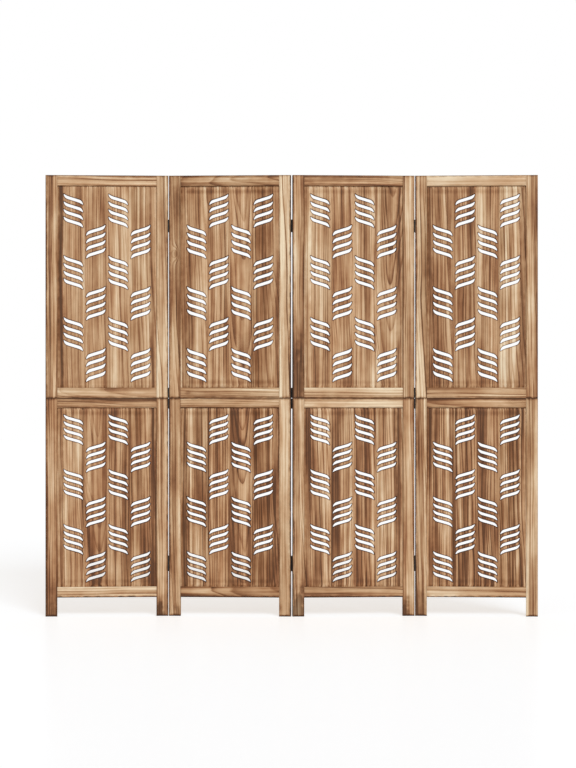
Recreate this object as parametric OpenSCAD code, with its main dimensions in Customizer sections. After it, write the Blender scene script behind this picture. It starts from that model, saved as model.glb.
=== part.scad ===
// Folding screen of four leaves, standing in a shallow zigzag.
// Each leaf is two mortised wooden frames, one on top of the other, round fielded
// panels that are pierced by groups of S-shaped slots. Butt hinges with loose pins
// join the leaves: the barrels of the outer folds stand in front, those of the
// middle fold behind, so that the leaves close like a concertina.
// +X runs along the screen, +Y away from the front, +Z up. The origin is on the
// floor, in the middle of the screen's box.

/* [Screen] */
// Height of the screen
screen_h = 1800; // [1500:10:2200]
// Width of one leaf
leaf_w = 500; // [400:5:650]
// Thickness of the frames
frame_t = 20; // [18:0.5:30]
// Height of the lower frame of each leaf, legs included
lower_h = 890; // [730:5:1080]
// Angle between neighbouring leaves at rest, short of a straight line
fold_rest = 8; // [2:1:90]

/* [Frames] */
// Width of the stiles and legs
stile_w = 48; // [40:1:70]
// Height of the top rail of the upper frame
upper_top_rail_h = 44; // [36:1:70]
// Height of the bottom rail of the upper frame
upper_bottom_rail_h = 43; // [36:1:70]
// Height of the top rail of the lower frame
lower_top_rail_h = 39; // [36:1:70]
// Height of the bottom rail of the lower frame
lower_bottom_rail_h = 43; // [36:1:70]
// Height of the legs below the lower frame's bottom rail
leg_h = 77; // [30:1:160]
// Width of the routed chamfer round each panel
chamfer = 2; // [1:0.5:3]
// Corner radius of that chamfer at the frame's face
chamfer_corner_r = 7; // [4:0.5:12]

/* [Joinery] */
// Thickness of the tenons
tenon_t = 7; // [5:0.5:9]
// Length of the tenons
tenon_l = 24; // [15:1:30]
// Wood left between a tenon and each edge of its rail, past the groove
tenon_shoulder = 2; // [1:0.5:4]
// Play round a tenon, and past its end
tenon_play = 0.1; // [0.05:0.05:0.3]
// Dowels that join the upper frame to the lower one
dowel_count = 3; // [2:1:5]
// Diameter of a dowel
dowel_d = 8; // [6:1:9]
// Distance from a panel opening's side to the outer dowels
dowel_side = 52; // [30:1:80]
// Wood left between the end of a dowel and the panel groove
dowel_wall = 5; // [3:0.5:8]
// Play round a dowel
dowel_play = 0.1; // [0.05:0.05:0.3]

/* [Panels] */
// Thickness of a panel's field
panel_t = 10; // [8:0.5:12]
// Thickness of a panel's edge, in the groove
panel_edge_t = 6; // [5:0.5:7]
// Width of the bevel round a panel's field
panel_bevel_w = 11; // [6:1:20]
// Depth of the groove that holds a panel
groove_d = 8; // [6:0.5:10]
// Play between a panel's edge and the sides of its groove
groove_play = 0.15; // [0.1:0.05:0.4]
// Room between a panel's edge and the bottom of its groove
panel_room = 0.8; // [0.5:0.1:0.9]

/* [Slots] */
// Slots in a group
slots_per_group = 4; // [2:1:5]
// Distance between the columns of groups
column_pitch = 91.3; // [88:0.1:110]
// Least distance from a panel opening's side to the middle of a column
column_side = 55; // [50:1:70]
// Wood between the slots of two columns
column_bridge = 13.1; // [10:0.1:20]
// Least distance from the ends of a panel opening to the middle of a group
row_end = 80; // [76:1:100]
// How far the pattern's middle lies below the panel's middle
pattern_drop = 4; // [0:1:10]
// Radius of a slot's rounded shoulders
slot_shoulder_r = 23; // [20:1:40]
// Radius of the hollow side of a slot's points
slot_lead_r = 80; // [40:5:200]
// How far a slot's points reach past its band
slot_hook = 3.8; // [1:0.1:5]
// Distance between the rows of the upper panel
upper_row_pitch = 126; // [120:1:140]
// Distance between the slots of a group in the upper panel
upper_slot_pitch = 31; // [26:0.5:34]
// Width of the slots of the upper panel
upper_slot_band = 12; // [8:0.1:14]
// Slope of the slots of the upper panel
upper_slot_slope = 17.2; // [12:0.1:22]
// Distance between the rows of the lower panel
lower_row_pitch = 112; // [108:1:125]
// Distance between the slots of a group in the lower panel
lower_slot_pitch = 27.6; // [24:0.5:30]
// Width of the slots of the lower panel
lower_slot_band = 10.8; // [8:0.1:12]
// Slope of the slots of the lower panel
lower_slot_slope = 15.9; // [12:0.1:20]

/* [Hinges] */
// Gap between the leaves at the two outer folds, when they lie flat
outer_gap = 1.8; // [1.4:0.1:4]
// Gap between the leaves at the middle fold, when they lie flat
middle_gap = 3.8; // [1.4:0.1:4.2]
// Height of the bottom hinges
hinge_bottom_h = 63; // [50:1:80]
// Height of the two middle hinges of each fold
hinge_middle_h = 41; // [36:1:50]
// Height of the top hinges
hinge_top_h = 51; // [40:1:64]
// Height of the bottom hinge's middle above the floor
hinge_bottom_z = 215; // [180:1:260]
// Distance from the screen's top to the top hinge's middle
hinge_top_drop = 206; // [150:1:260]
// Distance from the seam between the frames to a middle hinge
hinge_seam_gap = 1.5; // [1:0.5:5]
// Outer radius of the barrels
barrel_r = 3.2; // [3:0.1:4]
// Distance between a barrel's outside and the face of the leaves
barrel_stand = 0.4; // [0.3:0.1:1]
// Radius of the pins
pin_r = 1.5; // [1.2:0.1:1.8]
// Radial play of the pins
pin_play = 0.08; // [0.02:0.01:0.1]
// Gap between two knuckles
knuckle_gap = 0.8; // [0.4:0.1:1.2]
// Thickness of the hinge plates
plate_t = 1.2; // [1:0.1:1.6]
// Width of the hinge plates on the edge of a stile
plate_w = 14; // [12:0.5:16]
// Least gap between two closed plates
plate_gap = 0.5; // [0.3:0.1:1]
// Play between a plate and the sides of its seat
plate_play = 0.15; // [0.1:0.05:0.4]

/* [Screws] */
// Radius of the screws' shanks
screw_r = 1.3; // [1:0.1:1.6]
// Radius of the screws' heads
screw_head_r = 2.4; // [2:0.1:2.6]
// Length of the screws
screw_l = 12; // [10:1:16]
// Play round the screws
screw_play = 0.05; // [0.05:0.05:0.2]
// Distance from a plate's end to the middle of its outer screws
screw_end = 8; // [6:0.5:10]

/* [Hidden] */
$fn = 48;
cut = 1;                    // how far a cutting body runs past what it cuts
front = -1;                 // the side of the leaves that a fold's barrels stand on
back = 1;
left = -1;                  // the side of a leaf that a stile or fold lies on
right = 1;

LEAVES = [1, 2, 3, 4];
FOLDS = [1, 2, 3];          // fold n joins leaf n to leaf n + 1
fold_side = [front, back, front];
fold_gap = [outer_gap, middle_gap, outer_gap];
leaf_turn = [fold_rest / 2, -fold_rest / 2, fold_rest / 2, -fold_rest / 2];

FRAME_PIECES = [
    "upper_left_stile", "upper_right_stile", "upper_top_rail", "upper_bottom_rail",
    "upper_panel", "lower_left_stile", "lower_right_stile", "lower_top_rail",
    "lower_bottom_rail", "lower_panel", "dowels", "hinge_screws"
];
HINGE_PIECES = ["left_plates", "right_plates", "pins"];

frame_color = "burlywood";
panel_color = "peru";
dowel_color = "wheat";
hinge_color = "dimgray";
screw_color = "gray";

opening_w = leaf_w - 2 * stile_w;
lower_opening = [leg_h + lower_bottom_rail_h, lower_h - lower_top_rail_h];
upper_opening = [lower_h + upper_bottom_rail_h, screen_h - upper_top_rail_h];
tenon_inset = groove_d + tenon_shoulder;
groove_w = panel_edge_t + 2 * groove_play;
dowel_reach = min(upper_bottom_rail_h, lower_top_rail_h) - groove_d - dowel_wall;
dowel_span = opening_w - 2 * dowel_side;

pivot_y = frame_t / 2 + barrel_r + barrel_stand;    // a pin's distance from mid leaf
face_y = barrel_r + barrel_stand;                   // the leaf's near face, from a pin
bore_r = pin_r + pin_play;
knuckle_play = 0.3;                                 // round the other plate's knuckles
screw_y = face_y + plate_w / 2;
head_h = screw_head_r - screw_r;
point_l = 3;
recess_w = 0.6;
recess_h = 0.7;
pin_tip = 0.5;

// [middle height, height, knuckles, screws in each plate]
HINGES = [
    [hinge_bottom_z, hinge_bottom_h, 5, 3],
    [lower_h - hinge_seam_gap - hinge_middle_h / 2, hinge_middle_h, 3, 2],
    [lower_h + hinge_seam_gap + hinge_middle_h / 2, hinge_middle_h, 3, 2],
    [screen_h - hinge_top_drop, hinge_top_h, 3, 2]
];

function leaf_node(leaf, piece) = str("leaf_", leaf, "_", piece);
function fold_node(fold, piece) = str("hinge_", fold, fold + 1, "_", piece);

// How deep a plate is let into the edge of a stile, so that two plates clear each other.
function seat_d(fold) = max(0, plate_t + plate_gap / 2 - fold_gap[fold - 1] / 2);

// Where the leaves stand: each leaf's bottom centre, worked out from fold to fold.
function turned(v, a) = [v[0] * cos(a) - v[1] * sin(a), v[0] * sin(a) + v[1] * cos(a)];
function pivot_on_leaf(fold, side) =
    [side * (leaf_w + fold_gap[fold - 1]) / 2, fold_side[fold - 1] * pivot_y];
function leaf_spot(leaf) =
    leaf == 3 ? -turned(pivot_on_leaf(2, left), leaf_turn[2])
    : leaf == 4 ? leaf_spot(3) + turned(pivot_on_leaf(3, right), leaf_turn[2])
        - turned(pivot_on_leaf(3, left), leaf_turn[3])
    : [-leaf_spot(5 - leaf)[0], leaf_spot(5 - leaf)[1]];
function corner_y(leaf, side, face) =
    (leaf_spot(leaf) + turned([side * leaf_w, face * frame_t] / 2, leaf_turn[leaf - 1]))[1];
screen_front_y = min(corner_y(3, left, front), corner_y(4, right, front));
screen_back_y = max(corner_y(3, right, back), corner_y(4, left, back));
screen_mid_y = (screen_front_y + screen_back_y) / 2;

// ---- placing -------------------------------------------------------------------

module on_leaf(leaf) {
    spot = leaf_spot(leaf);
    translate([spot[0], spot[1] - screen_mid_y, 0])
        rotate([0, 0, leaf_turn[leaf - 1]])
            children();
}

// From a fold's own frame, whose origin is on the pin with the wood towards +X and
// +Y, to the frame of the leaf on that side of the fold.
module at_fold(fold, side) {
    pivot = pivot_on_leaf(fold, -side);
    translate([pivot[0], pivot[1], 0])
        scale([side, -fold_side[fold - 1], 1])
            children();
}

// The folds that a stile carries, as [fold, side of the fold that the leaf is on].
function folds_at(leaf, side) =
    side == left ? (leaf > 1 ? [[leaf - 1, right]] : [])
    : (leaf < len(LEAVES) ? [[leaf, left]] : []);

// Turns a shape drawn as width by height into a plate of the given thickness.
module upright(t) {
    rotate([90, 0, 0])
        linear_extrude(t, center = true)
            children();
}

// ---- frames --------------------------------------------------------------------

// What a round cutter takes off round an opening, on both faces of the frame.
module chamfer_cut(opening) {
    opening_h = opening[1] - opening[0];
    half_w = opening_w / 2 + chamfer - chamfer_corner_r;
    half_h = opening_h / 2 + chamfer - chamfer_corner_r;
    depth = chamfer + cut;
    for (face = [front, back])
        translate([0, face * (frame_t / 2 + cut), (opening[0] + opening[1]) / 2])
            rotate([face * 90, 0, 0]) {
                for (x = [-half_w, half_w], y = [-half_h, half_h])
                    translate([x, y, 0])
                        cylinder(r1 = chamfer_corner_r + cut, r2 = chamfer_corner_r - chamfer,
                                 h = depth);
                chamfer_ridge(half_w, half_h);
                rotate([0, 0, 90]) chamfer_ridge(half_h, half_w);
            }
}

// One bar of that cut: 2 * half_l long, with both long sides sloped.
module chamfer_ridge(half_l, half_across) {
    wide = half_across + chamfer_corner_r + cut;
    narrow = half_across + chamfer_corner_r - chamfer;
    rotate([90, 0, 90])
        linear_extrude(2 * half_l, center = true)
            polygon([[-wide, 0], [wide, 0], [narrow, chamfer + cut], [-narrow, chamfer + cut]]);
}

// The groove for one panel's four edges, with room past the panel.
module groove_cut(opening) {
    translate([0, 0, (opening[0] + opening[1]) / 2])
        cube([opening_w + 2 * groove_d, groove_w, opening[1] - opening[0] + 2 * groove_d],
             center = true);
}

module tenon(bottom, h, play) {
    translate([0, 0, bottom + h / 2])
        cube([opening_w + 2 * (tenon_l + play), tenon_t + 2 * play,
              h - 2 * tenon_inset + 2 * play], center = true);
}

// A stile from bottom to top. rails holds the bottom and height of each rail that
// is tenoned into it.
module stile(leaf, side, bottom, top, rails, opening) {
    difference() {
        translate([side > 0 ? opening_w / 2 : -leaf_w / 2, -frame_t / 2, bottom])
            cube([stile_w, frame_t, top - bottom]);
        groove_cut(opening);
        chamfer_cut(opening);
        for (rail = rails)
            tenon(rail[0], rail[1], tenon_play);
        for (fold = folds_at(leaf, side))
            at_fold(fold[0], fold[1])
                hinge_seats(fold[0], bottom, top);
    }
}

module rail(bottom, h, opening) {
    difference() {
        union() {
            translate([-opening_w / 2, -frame_t / 2, bottom])
                cube([opening_w, frame_t, h]);
            tenon(bottom, h, 0);
        }
        translate([0, 0, (opening[0] + opening[1]) / 2])
            cube([opening_w + cut, groove_w, opening[1] - opening[0] + 2 * groove_d],
                 center = true);
        chamfer_cut(opening);
        if (bottom == lower_h || bottom + h == lower_h)
            for (x = dowel_places())
                translate([x, 0, lower_h])
                    cylinder(d = dowel_d + 2 * dowel_play, h = 2 * (dowel_reach + dowel_play),
                             center = true);
    }
}

function dowel_places() =
    [for (i = [0:dowel_count - 1]) dowel_span * (i / (dowel_count - 1) - 1 / 2)];

LOWER_RAILS = [[leg_h, lower_bottom_rail_h], [lower_opening[1], lower_top_rail_h]];
UPPER_RAILS = [[lower_h, upper_bottom_rail_h], [upper_opening[1], upper_top_rail_h]];

module lower_stile(leaf, side) {
    color(frame_color) on_leaf(leaf)
        stile(leaf, side, 0, lower_h, LOWER_RAILS, lower_opening);
}

module upper_stile(leaf, side) {
    color(frame_color) on_leaf(leaf)
        stile(leaf, side, lower_h, screen_h, UPPER_RAILS, upper_opening);
}

module lower_bottom_rail(leaf) {
    color(frame_color) on_leaf(leaf)
        rail(leg_h, lower_bottom_rail_h, lower_opening);
}

module lower_top_rail(leaf) {
    color(frame_color) on_leaf(leaf)
        rail(lower_opening[1], lower_top_rail_h, lower_opening);
}

module upper_bottom_rail(leaf) {
    color(frame_color) on_leaf(leaf)
        rail(lower_h, upper_bottom_rail_h, upper_opening);
}

module upper_top_rail(leaf) {
    color(frame_color) on_leaf(leaf)
        rail(upper_opening[1], upper_top_rail_h, upper_opening);
}

module dowels(leaf) {
    color(dowel_color) on_leaf(leaf)
        for (x = dowel_places())
            translate([x, 0, lower_h])
                cylinder(d = dowel_d, h = 2 * dowel_reach, center = true);
}

// ---- panels --------------------------------------------------------------------

// Half of a slot: a straight band whose round shoulder and hollow lead meet in a point.
module half_slot(tip_x, band) {
    drop = band + slot_hook;
    shoulder_x = tip_x - sqrt(2 * slot_shoulder_r * drop - drop * drop);
    lead_x = tip_x - sqrt(2 * slot_lead_r * slot_hook - slot_hook * slot_hook);
    difference() {
        union() {
            translate([0, -band / 2 - slot_hook - cut])
                square([shoulder_x, drop + cut]);
            intersection() {
                translate([shoulder_x, -band / 2 - slot_hook - cut])
                    square([tip_x - shoulder_x + cut, drop + 2 * cut]);
                translate([shoulder_x, band / 2 - slot_shoulder_r])
                    circle(r = slot_shoulder_r);
            }
        }
        translate([-cut, -band / 2 - slot_hook - 2 * cut])
            square([lead_x + cut, slot_hook + 2 * cut]);
        translate([lead_x, -band / 2 - slot_lead_r])
            circle(r = slot_lead_r);
    }
}

// A slot that falls from a point at its upper left to one at its lower right.
// tip_w is its width from point to point, measured level.
module slot(tip_w, band, slope) {
    tip_x = (tip_w / 2 + (band / 2 + slot_hook) * sin(slope)) / cos(slope);
    rotate(-slope) {
        half_slot(tip_x, band);
        rotate(180) half_slot(tip_x, band);
    }
}

module slot_group(tip_w, band, slope, pitch) {
    for (i = [0:slots_per_group - 1])
        translate([0, pitch * (i - (slots_per_group - 1) / 2)])
            slot(tip_w, band, slope);
}

// The groups alternate between neighbouring columns, and so do their slopes. The
// pattern of every second leaf starts a row lower, so it is the mirror image of the
// one beside it.
module slot_pattern(leaf, opening, row_pitch, pitch, band, slope) {
    opening_h = opening[1] - opening[0];
    columns = floor((opening_w - 2 * column_side) / column_pitch) + 1;
    rows = floor((opening_h - 2 * row_end) / row_pitch) + 1;
    tip_w = column_pitch - column_bridge;
    for (column = [0:columns - 1], row = [0:rows - 1])
        if ((column + row + leaf) % 2 == 1)
            translate([column_pitch * (column - (columns - 1) / 2),
                       row_pitch * ((rows - 1) / 2 - row) - pattern_drop])
                mirror([column % 2, 0])
                    slot_group(tip_w, band, slope, pitch);
}

// Section across a panel: a thin edge, a bevel and the thicker field.
module panel_section(half_w) {
    bevel_start = half_w - groove_d + panel_room;
    field = bevel_start - panel_bevel_w;
    polygon([
        [-half_w, -panel_edge_t / 2], [-bevel_start, -panel_edge_t / 2],
        [-field, -panel_t / 2], [field, -panel_t / 2],
        [bevel_start, -panel_edge_t / 2], [half_w, -panel_edge_t / 2],
        [half_w, panel_edge_t / 2], [bevel_start, panel_edge_t / 2],
        [field, panel_t / 2], [-field, panel_t / 2],
        [-bevel_start, panel_edge_t / 2], [-half_w, panel_edge_t / 2]
    ]);
}

module panel(leaf, opening, row_pitch, pitch, band, slope) {
    panel_w = opening_w + 2 * (groove_d - panel_room);
    panel_h = opening[1] - opening[0] + 2 * (groove_d - panel_room);
    color(panel_color) on_leaf(leaf)
        translate([0, 0, (opening[0] + opening[1]) / 2])
            difference() {
                intersection() {
                    linear_extrude(panel_h, center = true)
                        panel_section(panel_w / 2);
                    rotate([90, 0, 90])
                        linear_extrude(panel_w, center = true)
                            rotate(90) panel_section(panel_h / 2);
                }
                upright(panel_t + 2 * cut)
                    slot_pattern(leaf, opening, row_pitch, pitch, band, slope);
            }
}

module upper_panel(leaf) {
    panel(leaf, upper_opening, upper_row_pitch, upper_slot_pitch, upper_slot_band,
          upper_slot_slope);
}

module lower_panel(leaf) {
    panel(leaf, lower_opening, lower_row_pitch, lower_slot_pitch, lower_slot_band,
          lower_slot_slope);
}

// ---- hinges --------------------------------------------------------------------
// These are drawn in the fold's own frame, for the leaf towards +X.

function screw_heights(hinge) =
    [for (i = [0:hinge[3] - 1])
        hinge[0] + (hinge[1] - 2 * screw_end) * (i / (hinge[3] - 1) - 1 / 2)];

// Outer face of a plate, towards the other leaf.
function plate_x(fold) = fold_gap[fold - 1] / 2 + seat_d(fold) - plate_t;

// The shallow seats for the plates in the edge of a stile, and the screw holes.
module hinge_seats(fold, bottom, top) {
    edge_x = fold_gap[fold - 1] / 2;
    for (hinge = HINGES)
        if (hinge[0] > bottom && hinge[0] < top) {
            if (seat_d(fold) > 0)
                translate([edge_x - cut, face_y - cut, hinge[0] - hinge[1] / 2 - plate_play])
                    cube([seat_d(fold) + cut, plate_w + plate_play + cut,
                          hinge[1] + 2 * plate_play]);
            for (z = screw_heights(hinge))
                translate([plate_x(fold), screw_y, z])
                    rotate([0, 90, 0])
                        cylinder(r = screw_r + screw_play, h = screw_l + screw_play);
        }
}

// Knuckles of one hinge: those of the left plates are the first, third and so on.
function knuckle_rows(side, count) =
    [for (k = [0:count - 1]) if ((k % 2 == 0) == (side == left)) k];

module knuckles(hinge, rows, r, play) {
    pitch = hinge[1] / hinge[2];
    for (k = rows)
        translate([0, 0, hinge[0] - hinge[1] / 2 + k * pitch + knuckle_gap / 2 - play])
            cylinder(r = r, h = pitch - knuckle_gap + 2 * play);
}

module hinge_plate(fold, side, hinge) {
    difference() {
        union() {
            translate([plate_x(fold), 0, hinge[0] - hinge[1] / 2])
                cube([plate_t, face_y + plate_w, hinge[1]]);
            knuckles(hinge, knuckle_rows(side, hinge[2]), barrel_r, 0);
        }
        knuckles(hinge, knuckle_rows(-side, hinge[2]), barrel_r + knuckle_play, knuckle_gap);
        translate([0, 0, hinge[0]])
            cylinder(r = bore_r, h = hinge[1] + 2 * cut, center = true);
        for (z = screw_heights(hinge))
            translate([plate_x(fold), screw_y, z])
                rotate([0, 90, 0]) {
                    cylinder(r1 = screw_head_r + screw_play, r2 = screw_r + screw_play,
                             h = head_h);
                    cylinder(r = screw_r + screw_play, h = plate_t + cut);
                }
    }
}

module hinge_plates(fold, side) {
    leaf = side == left ? fold : fold + 1;
    color(hinge_color) on_leaf(leaf) at_fold(fold, side)
        for (hinge = HINGES)
            hinge_plate(fold, side, hinge);
}

module hinge_pins(fold) {
    color(hinge_color) on_leaf(fold) at_fold(fold, left)
        for (hinge = HINGES)
            translate([0, 0, hinge[0]]) {
                cylinder(r = pin_r, h = hinge[1], center = true);
                for (end = [0, 180])
                    rotate([end, 0, 0])
                        translate([0, 0, hinge[1] / 2])
                            cylinder(r1 = pin_r, r2 = pin_r - pin_tip, h = pin_tip);
            }
}

module screw() {
    difference() {
        union() {
            cylinder(r1 = screw_head_r, r2 = screw_r, h = head_h);
            translate([0, 0, head_h])
                cylinder(r = screw_r, h = screw_l - head_h - point_l);
            translate([0, 0, screw_l - point_l])
                cylinder(r1 = screw_r, r2 = screw_r / 5, h = point_l);
        }
        for (turn = [0, 90])
            rotate([0, 0, turn])
                cube([2 * screw_head_r - recess_w * 2, recess_w, 2 * recess_h], center = true);
    }
}

module hinge_screws(leaf) {
    color(screw_color) on_leaf(leaf)
        for (edge = [left, right], fold = folds_at(leaf, edge))
            at_fold(fold[0], fold[1])
                for (hinge = HINGES, z = screw_heights(hinge))
                    translate([plate_x(fold[0]), screw_y, z])
                        rotate([0, 90, 0])
                            screw();
}

// ---- the screen ----------------------------------------------------------------

for (leaf = LEAVES) {
    upper_stile(leaf, left);
    upper_stile(leaf, right);
    upper_top_rail(leaf);
    upper_bottom_rail(leaf);
    upper_panel(leaf);
    lower_stile(leaf, left);
    lower_stile(leaf, right);
    lower_top_rail(leaf);
    lower_bottom_rail(leaf);
    lower_panel(leaf);
    dowels(leaf);
    hinge_screws(leaf);
}
for (fold = FOLDS) {
    hinge_plates(fold, left);
    hinge_plates(fold, right);
    hinge_pins(fold);
}
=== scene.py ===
"""A free-standing folding screen of four leaves, on a pale floor in soft light.

Each leaf is two frames of scorched wood, one on the other, round boarded panels that
are pierced by groups of S-shaped slots. Black butt hinges join the leaves. Sizes are
in metres: +X runs along the screen, +Y away from the front, +Z up.
"""

import logging
import math
from collections.abc import Callable, Iterable, Sequence
from dataclasses import dataclass, field, replace
from enum import Enum
from typing import Any

import bmesh
import bpy
import numpy as np
from mathutils import Matrix, Vector


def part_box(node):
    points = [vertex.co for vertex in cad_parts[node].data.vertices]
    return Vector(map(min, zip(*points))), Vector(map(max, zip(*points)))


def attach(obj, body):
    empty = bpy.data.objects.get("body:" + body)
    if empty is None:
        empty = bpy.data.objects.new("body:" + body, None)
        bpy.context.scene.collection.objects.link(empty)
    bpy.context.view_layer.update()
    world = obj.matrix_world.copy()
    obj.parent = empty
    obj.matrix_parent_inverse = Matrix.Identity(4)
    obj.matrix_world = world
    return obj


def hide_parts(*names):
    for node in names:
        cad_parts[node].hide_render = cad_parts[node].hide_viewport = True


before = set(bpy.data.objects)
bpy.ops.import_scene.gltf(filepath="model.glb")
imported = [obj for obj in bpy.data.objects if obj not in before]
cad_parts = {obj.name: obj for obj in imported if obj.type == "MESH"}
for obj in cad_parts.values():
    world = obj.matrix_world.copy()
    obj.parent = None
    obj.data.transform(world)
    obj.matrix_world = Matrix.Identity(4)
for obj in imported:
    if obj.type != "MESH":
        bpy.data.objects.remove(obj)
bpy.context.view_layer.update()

LOG = logging.getLogger("folding_screen")
TINY = 1e-5                  # two points closer than this are one
FLAT = math.radians(0.4)     # two faces that lean less than this are one
Pair = tuple[float, float]
Triple = tuple[float, float, float]
Shade = tuple[float, float, float, float]
Color = tuple[int, int, int]
Node, Socket = bpy.types.Node, bpy.types.NodeSocket
Mesh, Material = bpy.types.Mesh, bpy.types.Material
BMesh, BMVert = bmesh.types.BMesh, bmesh.types.BMVert


# ---- node trees ------------------------------------------------------------------

def operator(operation: str, swapped: bool = False) -> Callable[..., "Value"]:
    """Makes an operator of Value.

    Args:
        operation: the Math node's operation.
        swapped: whether the other number is the node's first input.

    Returns:
        The operator's method.
    """
    def combine(self: "Value", other: "Value | float") -> "Value":
        """The result of the node."""
        first, second = (other, self) if swapped else (self, other)
        return self.tree.value("ShaderNodeMath", {"operation": operation}, {0: first, 1: second})
    return combine


class Value:
    """A number in a node tree. Python's operators on it add Math nodes."""

    __add__ = __radd__ = operator("ADD")
    __sub__ = operator("SUBTRACT")
    __rsub__ = operator("SUBTRACT", swapped=True)
    __mul__ = __rmul__ = operator("MULTIPLY")
    __truediv__ = operator("DIVIDE")
    __mod__ = operator("MODULO")
    __gt__ = operator("GREATER_THAN")

    def __init__(self, tree: "Tree", socket: Socket) -> None:
        """Wraps an output socket of a tree's node."""
        self.tree = tree
        self.socket = socket

    def math(self, operation: str, *others: "Value | float") -> "Value":
        """The result of a Math node that takes this number first, and then the others."""
        inputs = dict(enumerate((self, *others)))
        return self.tree.value("ShaderNodeMath", {"operation": operation}, inputs)

    def smooth(self, low: "Value | float", high: "Value | float") -> "Value":
        """A smooth step of this number, from 0 at the low end to 1 at the high one."""
        return self.tree.value("ShaderNodeMapRange", {"interpolation_type": "SMOOTHSTEP"},
                               {"Value": self, "From Min": low, "From Max": high})


class Tree:
    """A node tree, with the one method that makes its nodes."""

    def __init__(self, nodes: bpy.types.NodeTree) -> None:
        """Wraps a Blender node tree."""
        self.nodes = nodes

    def node(self, kind: str, settings: dict[str, Any], inputs: dict[Any, Any]) -> Node:
        """Makes a node.

        Args:
            kind: the node's type.
            settings: its own settings, which are set first. "stops" is a colour
                ramp's list of (position, colour).
            inputs: a value, a Value or an output socket for each input, by the
                input's index, identifier or name. A list gives one input many links.

        Returns:
            The new node.
        """
        made = self.nodes.nodes.new(kind)
        for name, setting in settings.items():
            if name == "stops":
                set_stops(made.color_ramp, setting)
            else:
                setattr(made, name, setting)
        for key, given in inputs.items():
            socket = find_socket(made.inputs, key)
            for one in given if isinstance(given, list) else [given]:
                one = one.socket if isinstance(one, Value) else one
                if isinstance(one, Socket):
                    self.nodes.links.new(one, socket)
                else:
                    socket.default_value = one
        return made

    def value(self, kind: str, settings: dict[str, Any], inputs: dict[Any, Any],
              output: int | str = 0) -> Value:
        """Makes a node and returns one of its outputs as a number."""
        return Value(self, find_socket(self.node(kind, settings, inputs).outputs, output))

    def split(self, vector: Socket) -> list[Value]:
        """The three numbers of a vector."""
        made = self.node("ShaderNodeSeparateXYZ", {}, {0: vector})
        return [Value(self, out) for out in made.outputs]

    def join(self, *numbers: Value | float) -> Socket:
        """A vector of three numbers."""
        return self.node("ShaderNodeCombineXYZ", {}, dict(enumerate(numbers))).outputs[0]


def find_socket(sockets: Sequence[Socket], key: int | str) -> Socket:
    """One of a node's sockets, by its index, identifier or name.

    Args:
        sockets: the sockets.
        key: the index, identifier or name of the one.

    Returns:
        The socket.
    """
    if isinstance(key, int):
        return sockets[key]
    for socket in sockets:
        if socket.identifier == key:
            return socket
    return sockets[key]


def set_stops(ramp: bpy.types.ColorRamp, stops: Sequence[tuple[float, Sequence[float]]]) -> None:
    """Gives a colour ramp its stops.

    Args:
        ramp: the ramp of a new node, which has two stops.
        stops: the (position, colour) of each stop, from left to right.
    """
    while len(ramp.elements) < len(stops):
        ramp.elements.new(0.5)
    for element, (position, _) in zip(ramp.elements, stops):
        element.position = position
    for element, (_, color) in zip(ramp.elements, stops):
        element.color = color


def linear(red: int, green: int, blue: int) -> Shade:
    """A colour as seen on a screen, 0 to 255, in the linear form that shaders take.

    Args:
        red: its red.
        green: its green.
        blue: its blue.

    Returns:
        The linear colour, opaque.
    """
    def channel(level: int) -> float:
        """One channel, made linear."""
        part = level / 255
        return part / 12.92 if part <= 0.04045 else ((part + 0.055) / 1.055) ** 2.4
    return channel(red), channel(green), channel(blue), 1.0


def grey(level: float) -> Shade:
    """A grey, given by its linear level."""
    return level, level, level, 1.0


def new_material(name: str) -> tuple[Material, Tree]:
    """Makes an empty material.

    Args:
        name: the material's name.

    Returns:
        The material and its empty tree.
    """
    material = bpy.data.materials.new(name)
    material.use_nodes = True
    material.node_tree.nodes.clear()
    return material, Tree(material.node_tree)


def finish_material(tree: Tree, height: Value, strength: float, relief: float,
                    surface: dict[str, Any]) -> None:
    """Ends a material's tree in a shader with a bump.

    Args:
        tree: the material's tree.
        height: the height of the bump.
        strength: the bump's strength.
        relief: its height in metres.
        surface: the shader's inputs.
    """
    bump = tree.node("ShaderNodeBump", {}, {
        "Strength": strength, "Distance": relief, "Height": height})
    shader = tree.node("ShaderNodeBsdfPrincipled", {}, {**surface, "Normal": bump.outputs[0]})
    tree.node("ShaderNodeOutputMaterial", {}, {"Surface": shader.outputs[0]})


# ---- finishes --------------------------------------------------------------------

@dataclass(frozen=True)
class GrainNoise:
    """A noise that is drawn out along the grain."""

    shift: float                         # of the board's seed
    across: float                        # waves in a metre across the grain
    along: float                         # and along it
    detail: float = 2
    streaky: float = 0.0                 # its sway of the browning, as the streaks are strong
    even: float = 0.0                    # its sway of the browning on every board


GRAIN_NOISES = {
    "streak": GrainNoise(0.0, 48, 1.1, 3, streaky=0.38),
    "fine_streak": GrainNoise(1.3, 165, 1.6, streaky=0.68),
    "cloud": GrainNoise(3.1, 17, 4.2, 3, streaky=0.45, even=0.4),
    "mottle": GrainNoise(8.3, 42, 34, even=0.12),
    "fibre": GrainNoise(5.7, 620, 9, even=0.2),
    "pore": GrainNoise(6.4, 1700, 40, 1, even=0.1),
    "waver": GrainNoise(1.9, 38, 2.4, 1),
    "speckle": GrainNoise(2.3, 110, 30),
}


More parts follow.
